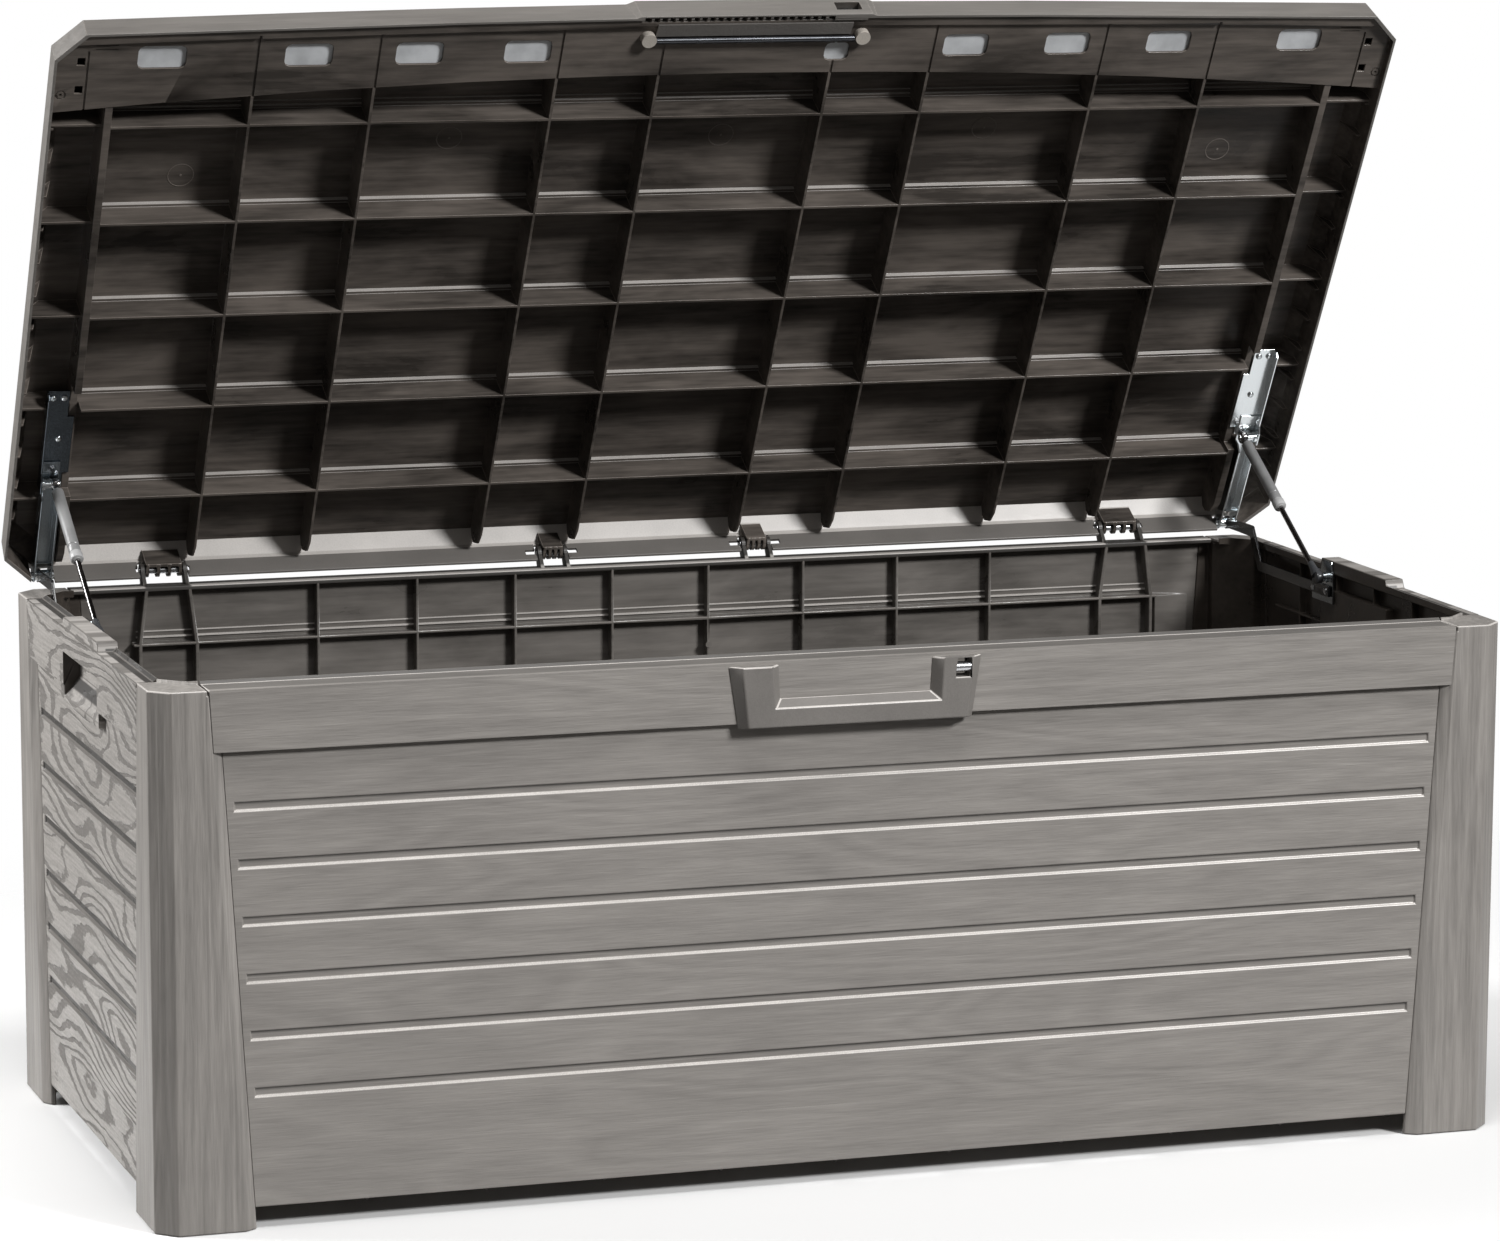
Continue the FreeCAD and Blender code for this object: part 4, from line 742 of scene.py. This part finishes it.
def inward(point):
    """From an end wall towards the middle of the box."""
    return Vector((math.copysign(1, -point.x), 0, 0))


def lid_point(x, v, w):
    """Where a point given on the closed lid, in millimetres, is on the open one."""
    forward, up = v / 1000 - LID_BASE[0], w / 1000 - LID_BASE[1]
    return HINGE + Vector((x / 1000, 0, 0)) + forward * LID_FORWARD + up * LID_UP


def make_ledge_lines(material):
    """Two low steps moulded along the rear wall above its upper rib, in the pale ledge look that paints their
    highlight.
    """
    mesh = bmesh.new()
    half, wall = HALF_W - 0.13, REAR_Y - WALL_FACE
    for bottom, top, reach in ((0.4884, 0.4904, 0.0024), (0.4949, 0.4963, 0.0014)):
        corners = [mesh.verts.new((side * half, y, z)) for side in (-1, 1)
                   for y, z in ((wall, bottom), (wall - reach, bottom), (wall - reach, top), (wall, top))]
        bmesh.ops.convex_hull(mesh, input=corners)
    piece_from(mesh, "rear_ledge_lines", material, "chest")


def make_mould_marks(material):
    """The round marks inside the lid's upper cells."""
    mesh = bmesh.new()
    for x, v in MOULD_MARKS:
        start = lid_point(x, v, MARK_HEIGHT)
        turn(mesh, start, -LID_UP, MARK_RING, segments=40)
        turn(mesh, start, -LID_UP, MARK_DOT, segments=16)
    piece_from(mesh, "lid_mould_marks", material, "lid")


def dress_hardware():
    """Materials of the other parts, by slot unless a part has its own, and their detailed pieces."""
    galvanised = steel("galvanised_steel", (0.8, 0.84, 0.86), 0.2, along="Z")
    bracket_steel = steel("bracket_steel", (0.42, 0.45, 0.47), 0.22, along="Z")
    # The left lid plate and arm take darker copies of the galvanised steel: painted shade.
    shaded_plate = steel("galvanised_steel_shaded_plate", (0.13, 0.15, 0.17), 0.24, along="Z", streak=0.3)
    shaded_arm = steel("galvanised_steel_shaded_arm", (0.3, 0.335, 0.36), 0.22, along="Z", streak=0.2)
    black = painted("black_steel", (0.012, 0.012, 0.013), 0.2, coat=0.6)
    strut_paint = painted("strut_paint", (0.24, 0.24, 0.24), 0.34, coat=0.2)
    gland = painted("strut_gland_resin", (0.42, 0.42, 0.42), 0.4)
    sleeve = painted("strut_sleeve_resin", (0.05, 0.052, 0.056), 0.3, coat=0.3)
    chrome = steel("chrome_rod", (0.34, 0.33, 0.33), 0.14, along="Z", streak=0.04)
    pin = steel("pin_steel", (0.6, 0.61, 0.63), 0.25, along="X")
    rod_steel = steel("handle_rod_steel", (0.1, 0.104, 0.114), 0.26, along="X", streak=0.3)
    bar_steel = painted("stiffener_steel", (0.62, 0.64, 0.66), 0.4)
    rubber = plain_resin("bumper_rubber", (0.50, 0.46, 0.41), 0.6, grain=700.0, height=0.0005)
    grip = plain_resin("grip_resin", (0.16, 0.15, 0.14), 0.55, grain=420.0, height=0.0006)
    table = {"galvanised_steel": galvanised, "black_steel": black, "strut_paint": strut_paint,
             "chrome_rod": chrome, "pin_steel": pin, "bumper_rubber": rubber, "grip_resin": grip}
    special = {"lid_plate_left": shaded_plate, "lid_arm_left": shaded_arm, "handle_rod": rod_steel,
               "lid_stiffener_bar": bar_steel, "wall_bracket_left": bracket_steel,
               "wall_bracket_right": bracket_steel}
    make_struts(strut_paint, gland, chrome, sleeve)
    heads("lid_plate_screws", galvanised, lambda middle: -LID_UP, SCREW_HEAD)
    heads("wall_bracket_rivets", pin, inward, RIVET_HEAD)
    # The marks take the lid's inside colour, which paints shade, made a little lighter.
    make_mould_marks(plain_resin("lid_mark_resin", shade(LID_INSIDE_SHADED, 1.5), 0.3))
    softened = {"lid_arm_": 0.0005, "lid_plate_": 0.0005, "wall_bracket_": 0.0006, "support_arm_": 0.0006}
    slots = {part["node"]: part["material_slot"] for part in frame["record"]["subparts"]}
    for node, slot in slots.items():
        if slot not in table:
            continue
        material = special.get(node, table[slot])
        width = softened.get(node.removesuffix("left").removesuffix("right"))
        if width:
            rounded(node, width, [material, material])
        NODES[node].data.materials.clear()
        NODES[node].data.materials.append(material)


make_camera()
make_stage()
make_mouldings()
dress_hardware()
